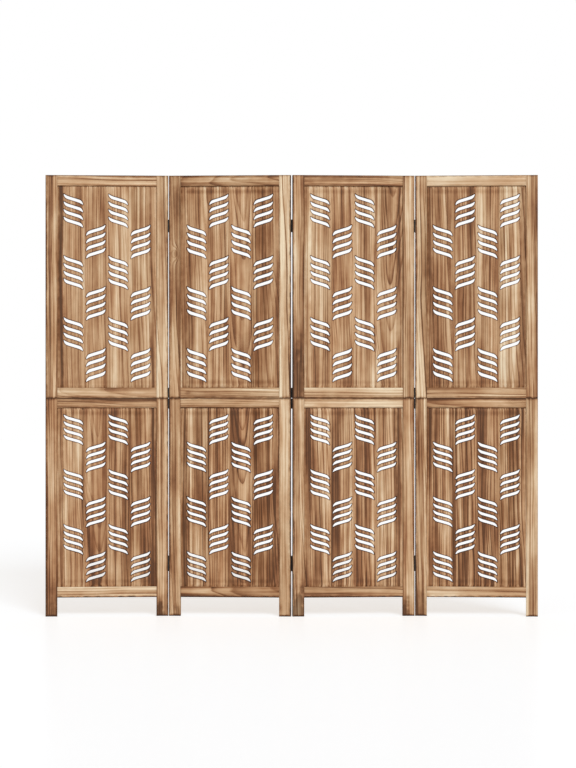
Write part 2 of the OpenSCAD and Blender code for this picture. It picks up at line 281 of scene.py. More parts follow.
class BoardNodes:
    """The nodes that all of the wood's pattern starts from."""

    def __init__(self, tree: Tree) -> None:
        """Reads the place on the board, and makes its noises.

        Args:
            tree: the wood's tree.
        """
        self.tree = tree
        self.place = self.vector("grain")            # across, through and along the board
        self.seed = self.number("seed")
        self.noises = {
            name: stretched_noise(tree, self.place, self.seed + noise.shift, noise.across,
                                  noise.along, noise.detail)
            for name, noise in GRAIN_NOISES.items()}
        self.noises["streak"] = self.noises["streak"].smooth(0.3, 0.7)

    def vector(self, name: str) -> list[Value]:
        """The three numbers of an attribute of the board."""
        return self.tree.split(read_attribute(self.tree, name, "Vector"))

    def number(self, name: str) -> Value:
        """An attribute of the board that is one number."""
        return Value(self.tree, read_attribute(self.tree, name, "Fac"))


@dataclass(frozen=True)
class ScorchedWood:
    """Wood that a flame has browned, and the brush has laid its grain bare.

    Its pattern follows attributes that every board carries: grain (the place across,
    through and along the board), half_size, figure (where the tree's heart lies, and
    its lean), tone (browning, redness, streaks), side_scorch, end_scorch, patch, knot,
    and the numbers seed, patch_depth, heartwood and slot_char. The char and browning
    along the frames' edges and round the slots are in part painted shade.
    """

    name: str = "scorched_wood"
    ring_width: float = 0.0105
    ring_waver: float = 0.003
    drift_across: float = 0.035
    drift_through: float = 0.05
    drift_waves: Pair = (7, 1.4)         # waves in a metre of that drift, across and along
    uneven_span: float = 2.6             # years over which the rings grow wider or narrower
    unevenness: float = 2.2              # years that they gain or lose by it
    late_wood: tuple[Pair, ...] = (      # how dark a ring is, from its start to its end
        (0.0, 0.6), (0.09, 0.02), (0.6, 0.12), (0.86, 0.75), (0.96, 1.0))
    faintest_line: float = 0.2
    line_spread: float = 0.55            # how much stronger the strongest line is
    knot_length: float = 1.9             # of a knot's length to its width
    knot_push: float = 2.4               # rings that it pushes aside
    # how far the black line along an edge runs in; on the frames it is in part painted shade
    char_and_shade_reach: float = 0.0055
    char_spread: Pair = (0.3, 1.4)       # the least share of that reach, and what speckle adds
    toast_spread: Pair = (0.8, 0.5)      # the same of a board's own reach, and mottle
    patch_length: float = 2.2            # of a burnt patch's length to its width
    patch_tear: float = 1.6              # how ragged it is
    patch_edge: Pair = (0.2, 1.15)       # where it starts to fade, and where it ends
    char_start: float = 0.35             # how deep a burn is where it starts to char
    blot_black: float = 1.1              # and where a patch has its most char
    burn_and_shade_char: float = 0.85              # the most char within a burnt patch, and round the slots, where it is in part painted shade
    blush: float = 1.5                   # how much the clouds redden the wood
    fade: float = 0.035                  # how much paler all boards are than their tone
    line_browning: float = 0.58          # how much darker late wood is than early wood
    burn_and_shade_browning: float = 0.4           # browning beside what is burnt, and beside the painted shade at edges and slots
    heart_browning: float = 0.17
    rim_browning: float = 0.34           # of the line where the heartwood begins
    knot_browning: float = 0.2
    char_cover: float = 0.95             # how much of the wood's colour the char and the painted shade hide
    relief: float = 0.00035              # height of the bump, and its strength
    bump: float = 0.45
    line_height: float = 0.5             # shares of that height
    fibre_height: float = 0.42
    pore_height: float = 0.22
    char_depth: float = 0.25
    roughness: Triple = (0.56, 0.22, 0.12)    # of bare wood, and what char and fibres add
    specular: float = 0.25
    tones: tuple[tuple[float, Color], ...] = (
        (0.0, (238, 219, 188)), (0.15, (225, 200, 167)), (0.3, (207, 175, 139)),
        (0.42, (191, 156, 119)), (0.54, (172, 134, 97)), (0.66, (150, 110, 75)),
        (0.78, (125, 85, 53)), (0.92, (100, 66, 38)), (1.0, (84, 54, 29)),
    )
    red_tones: tuple[tuple[float, Color], ...] = (
        (0.0, (240, 215, 180)), (0.15, (229, 196, 158)), (0.3, (212, 169, 128)),
        (0.42, (196, 149, 107)), (0.54, (177, 127, 86)), (0.66, (154, 103, 66)),
        (0.78, (128, 79, 45)), (0.92, (101, 59, 32)), (1.0, (85, 50, 25)),
    )
    # colour of char, and of the painted shade at the frames' edges and round the slots
    char_and_shade_color: Color = (49, 29, 16)

    def make(self) -> Material:
        """Builds the material.

        Returns:
            The material.
        """
        material, tree = new_material(self.name)
        color, roughness, height = self.surface(BoardNodes(tree))
        finish_material(tree, height, self.bump, self.relief, {
            "Base Color": color, "Roughness": roughness, "Specular IOR Level": self.specular})
        return material

    def surface(self, board: BoardNodes) -> tuple[Socket, Value, Value]:
        """Works out what varies over the wood.

        Args:
            board: the nodes to start from.

        Returns:
            The colour, the roughness and the height of the grain.
        """
        tree, noises = board.tree, board.noises
        lines, heart = self.rings(board)
        edge, toast_and_shade = self.edges(board)
        blot = self.blot(board)
        # the slots' dark rims: burnt wood, with painted shade of the slot walls
        slots = board.number("slot_char")
        browning, redness, streaks = board.vector("tone")
        streaky, level = lines * self.line_browning, browning - self.fade
        for name, noise in GRAIN_NOISES.items():
            sway = noises[name] - 0.5
            if noise.streaky:
                streaky = streaky + sway * noise.streaky
            if noise.even:
                level = level + sway * noise.even
        # browning and char along edges and round the slots are in part painted shade; a patch's
        # are char alone
        level = level + streaks * streaky + heart + (toast_and_shade + slots + blot) * self.burn_and_shade_browning
        char_and_shade = (edge.math("MAXIMUM", blot.smooth(self.char_start, self.blot_black)
                          * self.burn_and_shade_char)
                .math("MAXIMUM", slots.smooth(self.char_start, 1.0) * self.burn_and_shade_char))
        plain, red = (
            tree.node("ShaderNodeValToRGB", {"stops": ramp_stops(tones)}, {0: level}).outputs[0]
            for tones in (self.tones, self.red_tones))
        wood = mixed(tree, redness + (noises["cloud"] - 0.5) * self.blush, plain, red)
        color = mixed(tree, char_and_shade * self.char_cover, wood, linear(*self.char_and_shade_color))
        bare, near_slot, fibrous = self.roughness
        roughness = bare + char_and_shade * near_slot + noises["fibre"] * fibrous
        height = (lines * self.line_height + noises["fibre"] * self.fibre_height
                  + noises["pore"] * self.pore_height - char_and_shade * self.char_depth)
        return color, roughness, height

    def rings(self, board: BoardNodes) -> tuple[Value, Value]:
        """The year rings, cut by the board's faces as a saw would cut them.

        Args:
            board: the nodes to start from.

        Returns:
            How dark the line of late wood is, and how much the heartwood and a knot
            darken the board.
        """
        tree, seed = board.tree, board.seed
        across, through, along = board.place
        heart_across, heart_through, lean = board.vector("figure")
        fine, coarse = self.drift_waves
        drift = tree.node("ShaderNodeTexNoise", {}, {
            "Vector": tree.join(across * fine, through * fine, along * coarse + seed * 7.3),
            "Scale": 1, "Detail": 2})
        drift_across, drift_through, _ = tree.split(drift.outputs["Color"])
        from_heart = across - heart_across + (drift_across - 0.5) * self.drift_across
        depth = (through - heart_through + along * lean
                 + (drift_through - 0.5) * self.drift_through)
        radius = ((from_heart * from_heart + depth * depth).math("SQRT")
                  + (board.noises["waver"] - 0.5) * self.ring_waver)
        knot_across, knot_along, knot_size = board.vector("knot")
        aside = (across - knot_across) / knot_size
        beyond = (along - knot_along) / (knot_size * self.knot_length)
        from_knot = aside * aside + beyond * beyond
        radius = radius + (from_knot * -1).math("EXPONENT") * self.ring_width * self.knot_push
        uneven = tree.value("ShaderNodeTexNoise", {"noise_dimensions": "1D"}, {
            "W": radius / (self.ring_width * self.uneven_span) + seed * 5.3,
            "Scale": 1, "Detail": 1})
        years = radius / self.ring_width + (uneven - 0.5) * self.unevenness
        year = years.math("FLOOR")
        lot = tree.value("ShaderNodeTexWhiteNoise", {"noise_dimensions": "1D"},
                         {"W": year + seed * 31.7}, "Value")
        late = tree.node("ShaderNodeValToRGB", {
            "stops": [(position, grey(dark)) for position, dark in self.late_wood]},
            {0: years - year})
        lines = Value(tree, late.outputs[0]) * (self.faintest_line + lot * self.line_spread)
        bound = radius - board.number("heartwood")
        heart = 1 - bound.smooth(-0.001, 0.001)
        rim = 1 - (bound + 0.001).math("ABSOLUTE").smooth(0, 0.003)
        core = 1 - from_knot.smooth(0.03, 0.5)
        return lines, (heart * self.heart_browning + rim * self.rim_browning
                       + core * self.knot_browning)

    def edges(self, board: BoardNodes) -> tuple[Value, Value]:
        """How dark the board's edges are: char and browning, which on the frames is in part
        painted shade where the frames meet, under the rails, at the feet and at the folds.

        Args:
            board: the nodes to start from.

        Returns:
            How black the edges are, and how brown the wood beside them, from 0 to 1.
        """
        across, through, along = board.place
        half_across, half_through, half_along = board.vector("half_size")
        from_face = half_through - through.math("ABSOLUTE")
        left, right, reach = board.vector("side_scorch")
        low, high, inset = board.vector("end_scorch")
        speckle = board.noises["speckle"].smooth(0.3, 0.7)
        least_char, more_char = self.char_spread
        least_toast, more_toast = self.toast_spread
        char_reach = self.char_and_shade_reach * (least_char + more_char * speckle)
        mottle = board.noises["mottle"].smooth(0.25, 0.75)
        toast_reach = reach * (mottle * more_toast + least_toast)
        char_and_shade = toast_and_shade = None
        # along each side and end a black line and a browned band; on the frames they are in part
        # painted shade
        for strength, inwards in ((left, across + half_across), (right, half_across - across),
                                  (low, along + half_along), (high, half_along - along)):
            distance = (inwards * inwards + from_face * from_face).math("SQRT")
            black = strength * (1 - distance.smooth(0, char_reach))
            brown = strength * (1 - (distance - inset).math("ABSOLUTE").smooth(0, toast_reach))
            char_and_shade = black if char_and_shade is None else char_and_shade.math("MAXIMUM", black)
            toast_and_shade = brown if toast_and_shade is None else toast_and_shade.math("MAXIMUM", brown)
        return char_and_shade, toast_and_shade

    def blot(self, board: BoardNodes) -> Value:
        """How deeply the board's patch is burnt, from 0 to 1.

        Args:
            board: the nodes to start from.

        Returns:
            The depth of the burn, from 0 to 1.
        """
        across, _, along = board.place
        patch_across, patch_along, size = board.vector("patch")
        aside = (across - patch_across) / size
        beyond = (along - patch_along) / (size * self.patch_length)
        away = (aside * aside + beyond * beyond).math("SQRT")
        torn = away + (board.noises["mottle"] - 0.5) * self.patch_tear
        return board.number("patch_depth") * (1 - torn.smooth(*self.patch_edge))


@dataclass(frozen=True)
class TurnedWood:
    """Plain turned wood of the dowels."""

    name: str = "turned_wood"
    relief: float = 0.0002

    def make(self) -> Material:
        """Builds the material.

        Returns:
            The material.
        """
        material, tree = new_material(self.name)
        place = tree.split(tree.node("ShaderNodeTexCoord", {}, {}).outputs["Object"])
        seed = place[0].math("SNAP", 0.1)
        grain = stretched_noise(tree, place, seed, 900, 30, 3)
        band = stretched_noise(tree, place, seed, 260, 6, 2)
        level = grain * 0.45 + band * 0.55
        ramp = tree.node("ShaderNodeValToRGB", {"stops": ramp_stops((
            (0.25, (228, 202, 160)), (0.5, (208, 174, 128)), (0.75, (172, 134, 92))))},
            {0: level})
        finish_material(tree, grain, 0.4, self.relief, {
            "Base Color": ramp.outputs[0], "Roughness": 0.55 + grain * 0.15})
        return material


@dataclass(frozen=True)
class Metal:
    """Steel under black paint, or bare: mottled, and rubbed through in places."""

    name: str
    paint: Color
    bare: Color
    rubbed: float = 0.12         # share of the surface where the paint is thin
    metallic: float = 0.35
    roughness: float = 0.42
    relief: float = 0.00008

    def make(self) -> Material:
        """Builds the material.

        Returns:
            The material.
        """
        material, tree = new_material(self.name)
        place = tree.split(tree.node("ShaderNodeTexCoord", {}, {}).outputs["Object"])
        mottle = stretched_noise(tree, place, 0.0, 420, 420, 3)
        wear = stretched_noise(tree, place, 4.0, 260, 70, 4)
        thin = wear.smooth(0.72 - self.rubbed, 0.9 - self.rubbed)
        color = mixed(tree, thin * 0.8 + (mottle - 0.5) * 0.3,
                      linear(*self.paint), linear(*self.bare))
        finish_material(tree, mottle, 0.3, self.relief, {
            "Base Color": color, "Roughness": self.roughness + (mottle - 0.5) * 0.2,
            "Metallic": self.metallic + thin * (1 - self.metallic)})
        return material


def ramp_stops(tones: Iterable[tuple[float, Color]]) -> list:
    """The stops of a colour ramp, from positions and colours as seen."""
    return [(position, linear(*color)) for position, color in tones]


def read_attribute(tree: Tree, name: str, output: str) -> Socket:
    """An attribute of the piece's own mesh."""
    return tree.node("ShaderNodeAttribute", {"attribute_name": name}, {}).outputs[output]


def stretched_noise(tree: Tree, place: list[Value], seed: Value | float, fine: float,
                    coarse: float, detail: float) -> Value:
    """Noise that is drawn out along the grain.

    Args:
        tree: the material's tree.
        place: the place across, through and along.
        seed: moves the pattern, so that no two boards share it.
        fine: waves in a metre across the grain.
        coarse: waves in a metre along it.
        detail: the noise's detail.

    Returns:
        The noise, about 0 to 1.
    """
    across, through, along = place
    return tree.value("ShaderNodeTexNoise", {}, {
        "Vector": tree.join(across * fine, through * fine, along * coarse + seed * 11.9),
        "Scale": 1, "Detail": detail})


def mixed(tree: Tree, factor: Value, first: Any, second: Any) -> Socket:
    """A mix of two colours, from the first at factor 0 to the second at 1.

    Args:
        tree: the material's tree.
        factor: the share of the second colour.
        first: a colour, or an output that gives one.
        second: the other.

    Returns:
        The output that gives the mix.
    """
    made = tree.node("ShaderNodeMix", {"data_type": "RGBA"}, {
        "Factor_Float": factor, "A_Color": first, "B_Color": second})
    return find_socket(made.outputs, "Result_Color")


# ---- sizes and places ------------------------------------------------------------

@dataclass(frozen=True)
class ScreenSizes:
    """Sizes that the pieces share."""

    height: float = 1.8
    leaf_width: float = 0.5
    depth: float = 0.02
    seam: float = 0.89
    stile: float = 0.048
    upper_top_rail: float = 0.044
    upper_bottom_rail: float = 0.043
    lower_top_rail: float = 0.039
    lower_bottom_rail: float = 0.043
    leg: float = 0.077
    fold_rest: float = math.radians(8)

    @property
    def opening(self) -> float:
        """Width of the panel openings."""
        return self.leaf_width - 2 * self.stile

    @property
    def lower_opening(self) -> Pair:
        """Bottom and top of the lower panel's opening."""
        return self.leg + self.lower_bottom_rail, self.seam - self.lower_top_rail

    @property
    def upper_opening(self) -> Pair:
        """Bottom and top of the upper panel's opening."""
        return self.seam + self.upper_bottom_rail, self.height - self.upper_top_rail


@dataclass(frozen=True)
class LeafPlace:
    """Where one leaf stands."""

    number: int
    sizes: ScreenSizes

    @property
    def body(self) -> str:
        """The body that the leaf's pieces ride on."""
        return f"leaf_{self.number}"

    @property
    def matrix(self) -> Matrix:
        """From the leaf's own frame, at its bottom centre, to the screen's.

        Returns:
            The matrix, with the leaf's turn at rest.
        """
        low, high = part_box(f"leaf_{self.number}_upper_top_rail")
        middle = (low + high) / 2
        turn = self.sizes.fold_rest / 2 * (1 if self.number % 2 else -1)
        return Matrix.Translation((middle.x, middle.y, 0)) @ Matrix.Rotation(turn, 4, "Z")


# ---- meshes ----------------------------------------------------------------------

def in_scene(name: str, data: bpy.types.ID) -> bpy.types.Object:
    """Makes an object of this data in the scene.

    Args:
        name: the object's name.
        data: its mesh, light or camera.

    Returns:
        The object.
    """
    made = bpy.data.objects.new(name, data)
    bpy.context.scene.collection.objects.link(made)
    return made


def finished_piece(name: str, mesh: Mesh, body: str, nodes: Sequence[str]) -> bpy.types.Object:
    """Makes a mesh a piece of the screen.

    Args:
        name: the piece's name.
        mesh: its mesh, in the screen's frame.
        body: the body that it rides on.
        nodes: the CAD nodes that it stands for.

    Returns:
        The new object.
    """
    piece = in_scene(name, mesh)
    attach(piece, body)
    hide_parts(*nodes)
    LOG.info("%s rides on %s: %d faces", name, body, len(mesh.polygons))
    return piece


def merged_copy(node: str, to_leaf: Matrix) -> BMesh:
    """A copy of a CAD node's mesh in its leaf's frame, with whole flat faces.

    Args:
        node: the CAD node.
        to_leaf: from the screen's frame to the leaf's.

    Returns:
        The copy. The node itself stays as it is.
    """
    work = bmesh.new()
    work.from_mesh(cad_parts[node].data)
    work.transform(to_leaf)
    bmesh.ops.remove_doubles(work, verts=work.verts, dist=TINY / 5)
    bmesh.ops.dissolve_limit(work, angle_limit=FLAT, verts=work.verts, edges=work.edges,
                             delimit={"NORMAL"})
    return work


def loft(work: BMesh, rings: list[list[BMVert]]) -> None:
    """Joins each ring of vertices to the next one with a band of faces.

    Args:
        work: the mesh to add to.
        rings: the rings, all with as many vertices.
    """
    for ring, following in zip(rings, rings[1:]):
        for i, vert in enumerate(ring):
            j = (i + 1) % len(ring)
            work.faces.new((vert, ring[j], following[j], following[i]))


def plain_mesh(work: BMesh, name: str) -> Mesh:
    """Turns what has been built into a mesh.

    Args:
        work: what has been built, which is freed.
        name: the mesh's name.

    Returns:
        The mesh.
    """
    mesh = bpy.data.meshes.new(name)
    work.to_mesh(mesh)
    work.free()
    return mesh


def write_corners(mesh: Mesh, name: str, values: np.ndarray) -> None:
    """Gives a mesh an attribute with a number or a vector for each face corner.

    Args:
        mesh: the mesh.
        name: the attribute's name.
        values: a number or three for each face corner.
    """
    kind, part = ("FLOAT", "value") if values.ndim == 1 else ("FLOAT_VECTOR", "vector")
    layer = mesh.attributes.new(name, kind, "CORNER")
    layer.data.foreach_set(part, np.ascontiguousarray(values, np.float32).ravel())


# ---- boards ----------------------------------------------------------------------

class Tone(Enum):
    """How brown the flame left a board: browning, redness, strength of its streaks."""

    CREAM = (0.2, 0.15, 0.85)
    PALE = (0.27, 0.15, 0.95)
    HONEY = (0.34, 0.2, 1.0)
    TAN = (0.41, 0.25, 1.0)
    NUT = (0.48, 0.35, 1.0)
    BROWN = (0.55, 0.45, 1.0)
    DARK = (0.62, 0.55, 1.0)
    SMOKED = (0.69, 0.6, 1.0)


class Cut(Enum):
    """How a board was sawn: where the tree's heart lies across and behind it, and the
    lean of the tree, which draws the arched figure."""

    STRAIGHT = (0.21, 0.09, 0.008)
    SLOPED = (0.09, 0.07, 0.03)
    ARCHED = (0.006, 0.055, 0.07)


NOWHERE = (0.0, -9.0, 0.01)  # the place and size of a knot or patch that a board lacks


@dataclass(frozen=True)
class Figure:
    """The look of one board."""

    tone: Tone
    cut: Cut = Cut.STRAIGHT
    streaks: float = 1.0                 # strength of its streaks and lines
    sides: Pair = (0.5, 0.5)             # darkening along the left or low side, and the other
    ends: Pair = (0.3, 0.3)              # darkening at the low or left end, and the other
    reach: float = 0.011                 # how far the darkening runs in
    inset: float = 0.0                   # how far from the edge it is darkest
    heartwood: float = 0.0               # radius of the tree's darker heartwood
    knot: Triple = NOWHERE               # across, along, radius
    patch: Triple = NOWHERE
    patch_depth: float = 0.0

    def attributes(self) -> dict[str, float | Triple]:
        """What the wood's material reads of it, by name.

        Returns:
            Each attribute's number or vector.
        """
        browning, redness, streaks = self.tone.value
        return {"figure": self.cut.value, "tone": (browning, redness, streaks * self.streaks),
                "side_scorch": (*self.sides, self.reach), "end_scorch": (*self.ends, self.inset),
                "heartwood": self.heartwood, "knot": self.knot, "patch": self.patch,
                "patch_depth": self.patch_depth}


@dataclass
class BoardPaint:
    """Writes what the wood's material reads, board by board."""

    mesh: Mesh
    figures: list[Figure]
    centers: np.ndarray                  # each board's centre, in its leaf's frame
    half_sizes: np.ndarray
    seeds: list[float]
    grain_up: bool = True

    def write(self, to_leaf: Matrix, board_of_face: np.ndarray) -> None:
        """Writes the attributes on the mesh's face corners.

        Args:
            to_leaf: from the mesh's frame to the leaf's.
            board_of_face: the number of each face's board.
        """
        mesh = self.mesh
        points = np.empty(len(mesh.vertices) * 3)
        mesh.vertices.foreach_get("co", points)
        turn = np.array(to_leaf)
        points = points.reshape(-1, 3) @ turn[:3, :3].T + turn[:3, 3]
        vertex = np.empty(len(mesh.loops), int)
        mesh.loops.foreach_get("vertex_index", vertex)
        loops = np.empty(len(mesh.polygons), int)
        mesh.polygons.foreach_get("loop_total", loops)
        board = np.repeat(board_of_face, loops)
        grain = points[vertex] - self.centers[board]
        half = self.half_sizes[board]
        if not self.grain_up:            # along the board is X, and across it Z
            grain, half = grain[:, [2, 1, 0]], half[:, [2, 1, 0]]
        write_corners(mesh, "grain", grain)
        write_corners(mesh, "half_size", half)
        write_corners(mesh, "seed", np.array(self.seeds)[board])
        looks = [figure.attributes() for figure in self.figures]
        for name in looks[0]:
            write_corners(mesh, name, np.array([look[name] for look in looks], float)[board])


@dataclass
class FrameBoard:
    """A stile or rail of a leaf's frames, with its sharp corners eased."""

    place: LeafPlace
    part: str                            # the piece's name within its leaf
    low: Pair                            # x and z of the lower left corner, in the leaf
    high: Pair
    grain_up: bool
    figure: Figure
    seed: float
    ease: float = 0.0007                 # how far the corners are rounded
    steps: int = 2

    def build(self, wood: Material) -> bpy.types.Object:
        """Makes the board in place of its CAD node.

        Args:
            wood: its material.

        Returns:
            The finished piece.
        """
        node = f"{self.place.body}_{self.part}"
        to_leaf = self.place.matrix.inverted()
        work = merged_copy(node, to_leaf)
        bmesh.ops.bevel(work, geom=self.arrises(work), offset=self.ease, offset_type="OFFSET",
                        segments=self.steps, profile=0.5, affect="EDGES", clamp_overlap=True)
        work.transform(self.place.matrix)
        mesh = plain_mesh(work, f"{node}_board")
        mesh.materials.append(wood)
        low = Vector((self.low[0], -self.place.sizes.depth / 2, self.low[1]))
        high = Vector((self.high[0], self.place.sizes.depth / 2, self.high[1]))
        paint = BoardPaint(mesh, [self.figure], np.array([(low + high) / 2]),
                           np.array([(high - low) / 2]), [self.seed], self.grain_up)
        paint.write(to_leaf, np.zeros(len(mesh.polygons), int))
        return finished_piece(f"{node}_board", mesh, self.place.body, [node])

    def arrises(self, work: BMesh) -> list[bmesh.types.BMEdge]:
        """The edges where two sides of the board's box meet.

        Args:
            work: the board's mesh, in its leaf's frame.

        Returns:
            The edges that are eased.
        """
        half_depth = self.place.sizes.depth / 2
        planes = [(0, self.low[0]), (0, self.high[0]), (1, -half_depth), (1, half_depth),
                  (2, self.low[1]), (2, self.high[1])]

        def sides(vert: BMVert) -> set[int]:
            """The sides of the box that a vertex lies on."""
            return {i for i, (axis, at) in enumerate(planes) if abs(vert.co[axis] - at) < TINY}
        return [edge for edge in work.edges
                if len(sides(edge.verts[0]) & sides(edge.verts[1])) > 1]


# ---- slotted panels --------------------------------------------------------------

@dataclass(frozen=True)
class SlotShape:
    """An S-shaped slot that falls from a point at its upper left to one at its lower
    right. Beside each point are a round shoulder and a hollow lead."""

    band: float
    slope: float
    tip_width: float = 0.0782            # from point to point, measured level
    shoulder: float = 0.023              # radius of the shoulders
    lead: float = 0.08                   # radius of the leads
    hook: float = 0.0038                 # how far the points reach past the band
    tip: float = 0.0003                  # radius that the points are worn to
    lead_steps: int = 5
    tip_steps: int = 4
    shoulder_steps: int = 9

    def outline(self, grow: float) -> list[Pair]:
        """The slot's outline, anticlockwise.

        Args:
            grow: how far the outline is moved outwards.

        Returns:
            As many points for any amount.
        """
        cos, sin = math.cos(self.slope), math.sin(self.slope)
        tip_x = (self.tip_width / 2 + (self.band / 2 + self.hook) * sin) / cos
        drop = self.band + self.hook
        shoulder = Vector((tip_x - math.sqrt(2 * self.shoulder * drop - drop ** 2),
                           self.band / 2 - self.shoulder))
        lead = Vector((tip_x - math.sqrt(2 * self.lead * self.hook - self.hook ** 2),
                       -self.band / 2 - self.lead))
        tip = self.meeting(shoulder, self.shoulder - self.tip, lead, self.lead + self.tip)
        to_tip, from_shoulder = tip - lead, tip - shoulder
        lead_end = math.atan2(to_tip.y, to_tip.x)
        shoulder_start = math.atan2(from_shoulder.y, from_shoulder.x)
        half = [*arc(lead, self.lead - grow, math.pi / 2, lead_end, self.lead_steps),
                *arc(tip, self.tip + grow, lead_end - math.pi, shoulder_start,
                     self.tip_steps)[1:],
                *arc(shoulder, self.shoulder + grow, shoulder_start, math.pi / 2,
                     self.shoulder_steps)[1:]]
        whole = half + [(-x, -y) for x, y in half]
        return [(x * cos + y * sin, y * cos - x * sin) for x, y in whole]

    def meeting(self, first: Vector, first_radius: float, second: Vector,
                second_radius: float) -> Vector:
        """Where two circles meet, on the right.

        Args:
            first: the first circle's centre.
            first_radius: its radius.
            second: the second circle's centre.
            second_radius: its radius.

        Returns:
            The point.
        """
        between = second - first
        span = between.length
        along = (span ** 2 + first_radius ** 2 - second_radius ** 2) / (2 * span)
        aside = math.sqrt(first_radius ** 2 - along ** 2)
        foot = first + between * (along / span)
        side = Vector((-between.y, between.x)) * (aside / span)
        return max(foot + side, foot - side, key=lambda point: point.x)


def arc(center: Vector, radius: float, start: float, end: float, steps: int) -> list[Pair]:
    """Points along an arc of a circle, both ends included."""
    angles = [start + (end - start) * step / steps for step in range(steps + 1)]
    return [(center.x + radius * math.cos(a), center.y + radius * math.sin(a)) for a in angles]


@dataclass(frozen=True)
class SlotPattern:
    """How the slots lie on a panel."""

    row_pitch: float
    slot_pitch: float
    shape: SlotShape
    rows: int = 6
    columns: int = 4
    column_pitch: float = 0.0913
    slots: int = 4
    drop: float = 0.004


@dataclass
class SlottedPanel:
    """A boarded panel with a bevelled margin, pierced by groups of slots."""

    place: LeafPlace
    part: str
    opening: Pair                        # bottom and top of its opening
    pattern: SlotPattern
    figures: list[Figure]
    seed: float
    thickness: float = 0.01
    edge_thickness: float = 0.006
    bevel: float = 0.011
    tongue: float = 0.0072               # how far its edge runs into the frame's groove
    rim: float = 0.00045                 # rounding of the slots' edges
    burn_and_shade: float = 0.0021                 # width of the dark line round each slot: burnt rim, with painted shade of its walls
    toast_and_shade: float = 0.005                 # width of the browned band round that
    groove: float = 0.0006               # half the width of the seams between boards
    groove_depth: float = 0.0005
    round_limit: float = math.radians(52)    # the sharpest edge that is shaded round
    flat_limit: float = math.radians(4)      # away from the slots

    def build(self, wood: Material, piercing: "PiercingTree") -> bpy.types.Object:
        """Makes the panel in place of its CAD node.

        Args:
            wood: its material.
            piercing: the node tree that pierces panels.

        Returns:
            The finished piece.
        """
        node = f"{self.place.body}_{self.part}"
        work = bmesh.new()
        work.from_mesh(piercing.pierce(self, wood))
        self.add_margin(work)
        self.cut_seams(work)
        self.mark_sharp(work)
        bmesh.ops.recalc_face_normals(work, faces=work.faces)
        upright = Matrix.Rotation(math.pi / 2, 4, "X")
        middle = Matrix.Translation((0, 0, sum(self.opening) / 2))
        work.transform(self.place.matrix @ middle @ upright)
        mesh = plain_mesh(work, f"{node}_boards")
        mesh.materials.clear()
        mesh.materials.append(wood)
        self.paint(mesh)
        return finished_piece(f"{node}_boards", mesh, self.place.body, [node])

    @property
    def half_width(self) -> float:
        """Half the width of the opening."""
        return self.place.sizes.opening / 2

    @property
    def half_height(self) -> float:
        """Half the height of the opening."""
        return (self.opening[1] - self.opening[0]) / 2

    @property
    def seams(self) -> list[float]:
        """Where the panel's boards meet, midway between the columns of slots."""
        count = self.pattern.columns
        return [self.pattern.column_pitch * (i - count / 2) for i in range(1, count)]

    def add_margin(self, work: BMesh) -> None:
        """Adds the bevel and the edge that the frame's groove holds.

        Args:
            work: the panel's pierced field, flat on the XY plane.
        """
        half, edge = self.thickness / 2, self.edge_thickness / 2
        rings = []
        for grow, height in ((-self.bevel, half), (0, edge), (self.tongue, edge),
                             (self.tongue, -edge), (0, -edge), (-self.bevel, -half)):
            x, y = self.half_width + grow, self.half_height + grow
            rings.append([work.verts.new((a * x, b * y, height))
                          for a, b in ((-1, -1), (1, -1), (1, 1), (-1, 1))])
        loft(work, rings)
        bmesh.ops.remove_doubles(work, verts=work.verts, dist=TINY)

    def cut_seams(self, work: BMesh) -> None:
        """Cuts a fine V along the seams between the boards.

        Args:
            work: the panel, flat on the XY plane.
        """
        for seam in self.seams:
            for side in (-self.groove, 0, self.groove):
                bmesh.ops.bisect_plane(
                    work, geom=[*work.verts, *work.edges, *work.faces], dist=TINY / 10,
                    plane_co=(seam + side, 0, 0), plane_no=(1, 0, 0))
            for vert in work.verts:
                if abs(vert.co.x - seam) < TINY / 2:
                    vert.co.z -= math.copysign(self.groove_depth, vert.co.z)

    def mark_sharp(self, work: BMesh) -> None:
        """Shades the slots' walls and rims smooth, and all else by its flat faces.

        Args:
            work: the panel.
        """
        layer = work.verts.layers.float["slot_char"]
        for edge in work.edges:
            near_slot = all(vert[layer] > 0 for vert in edge.verts)
            limit = self.round_limit if near_slot else self.flat_limit
            edge.smooth = len(edge.link_faces) == 2 and edge.calc_face_angle(math.pi) < limit
        for face in work.faces:
            face.smooth = True

    def paint(self, mesh: Mesh) -> None:
        """Writes what the wood's material reads.

        Args:
            mesh: the panel's mesh, in the screen's frame.
        """
        to_leaf = self.place.matrix.inverted()
        bounds = [-self.half_width - self.tongue, *self.seams, self.half_width + self.tongue]
        middle = sum(self.opening) / 2
        centers, halves = [], []
        for low, high in zip(bounds, bounds[1:]):
            centers.append(((low + high) / 2, 0, middle))
            halves.append(((high - low) / 2, self.thickness / 2, self.half_height))
        face_x = np.array([(to_leaf @ face.center).x for face in mesh.polygons])
        board = np.searchsorted(np.array(self.seams), face_x)
        seeds = [self.seed + 1.37 * i for i in range(len(centers))]
        paint = BoardPaint(mesh, self.figures, np.array(centers), np.array(halves), seeds)
        paint.write(to_leaf, board)


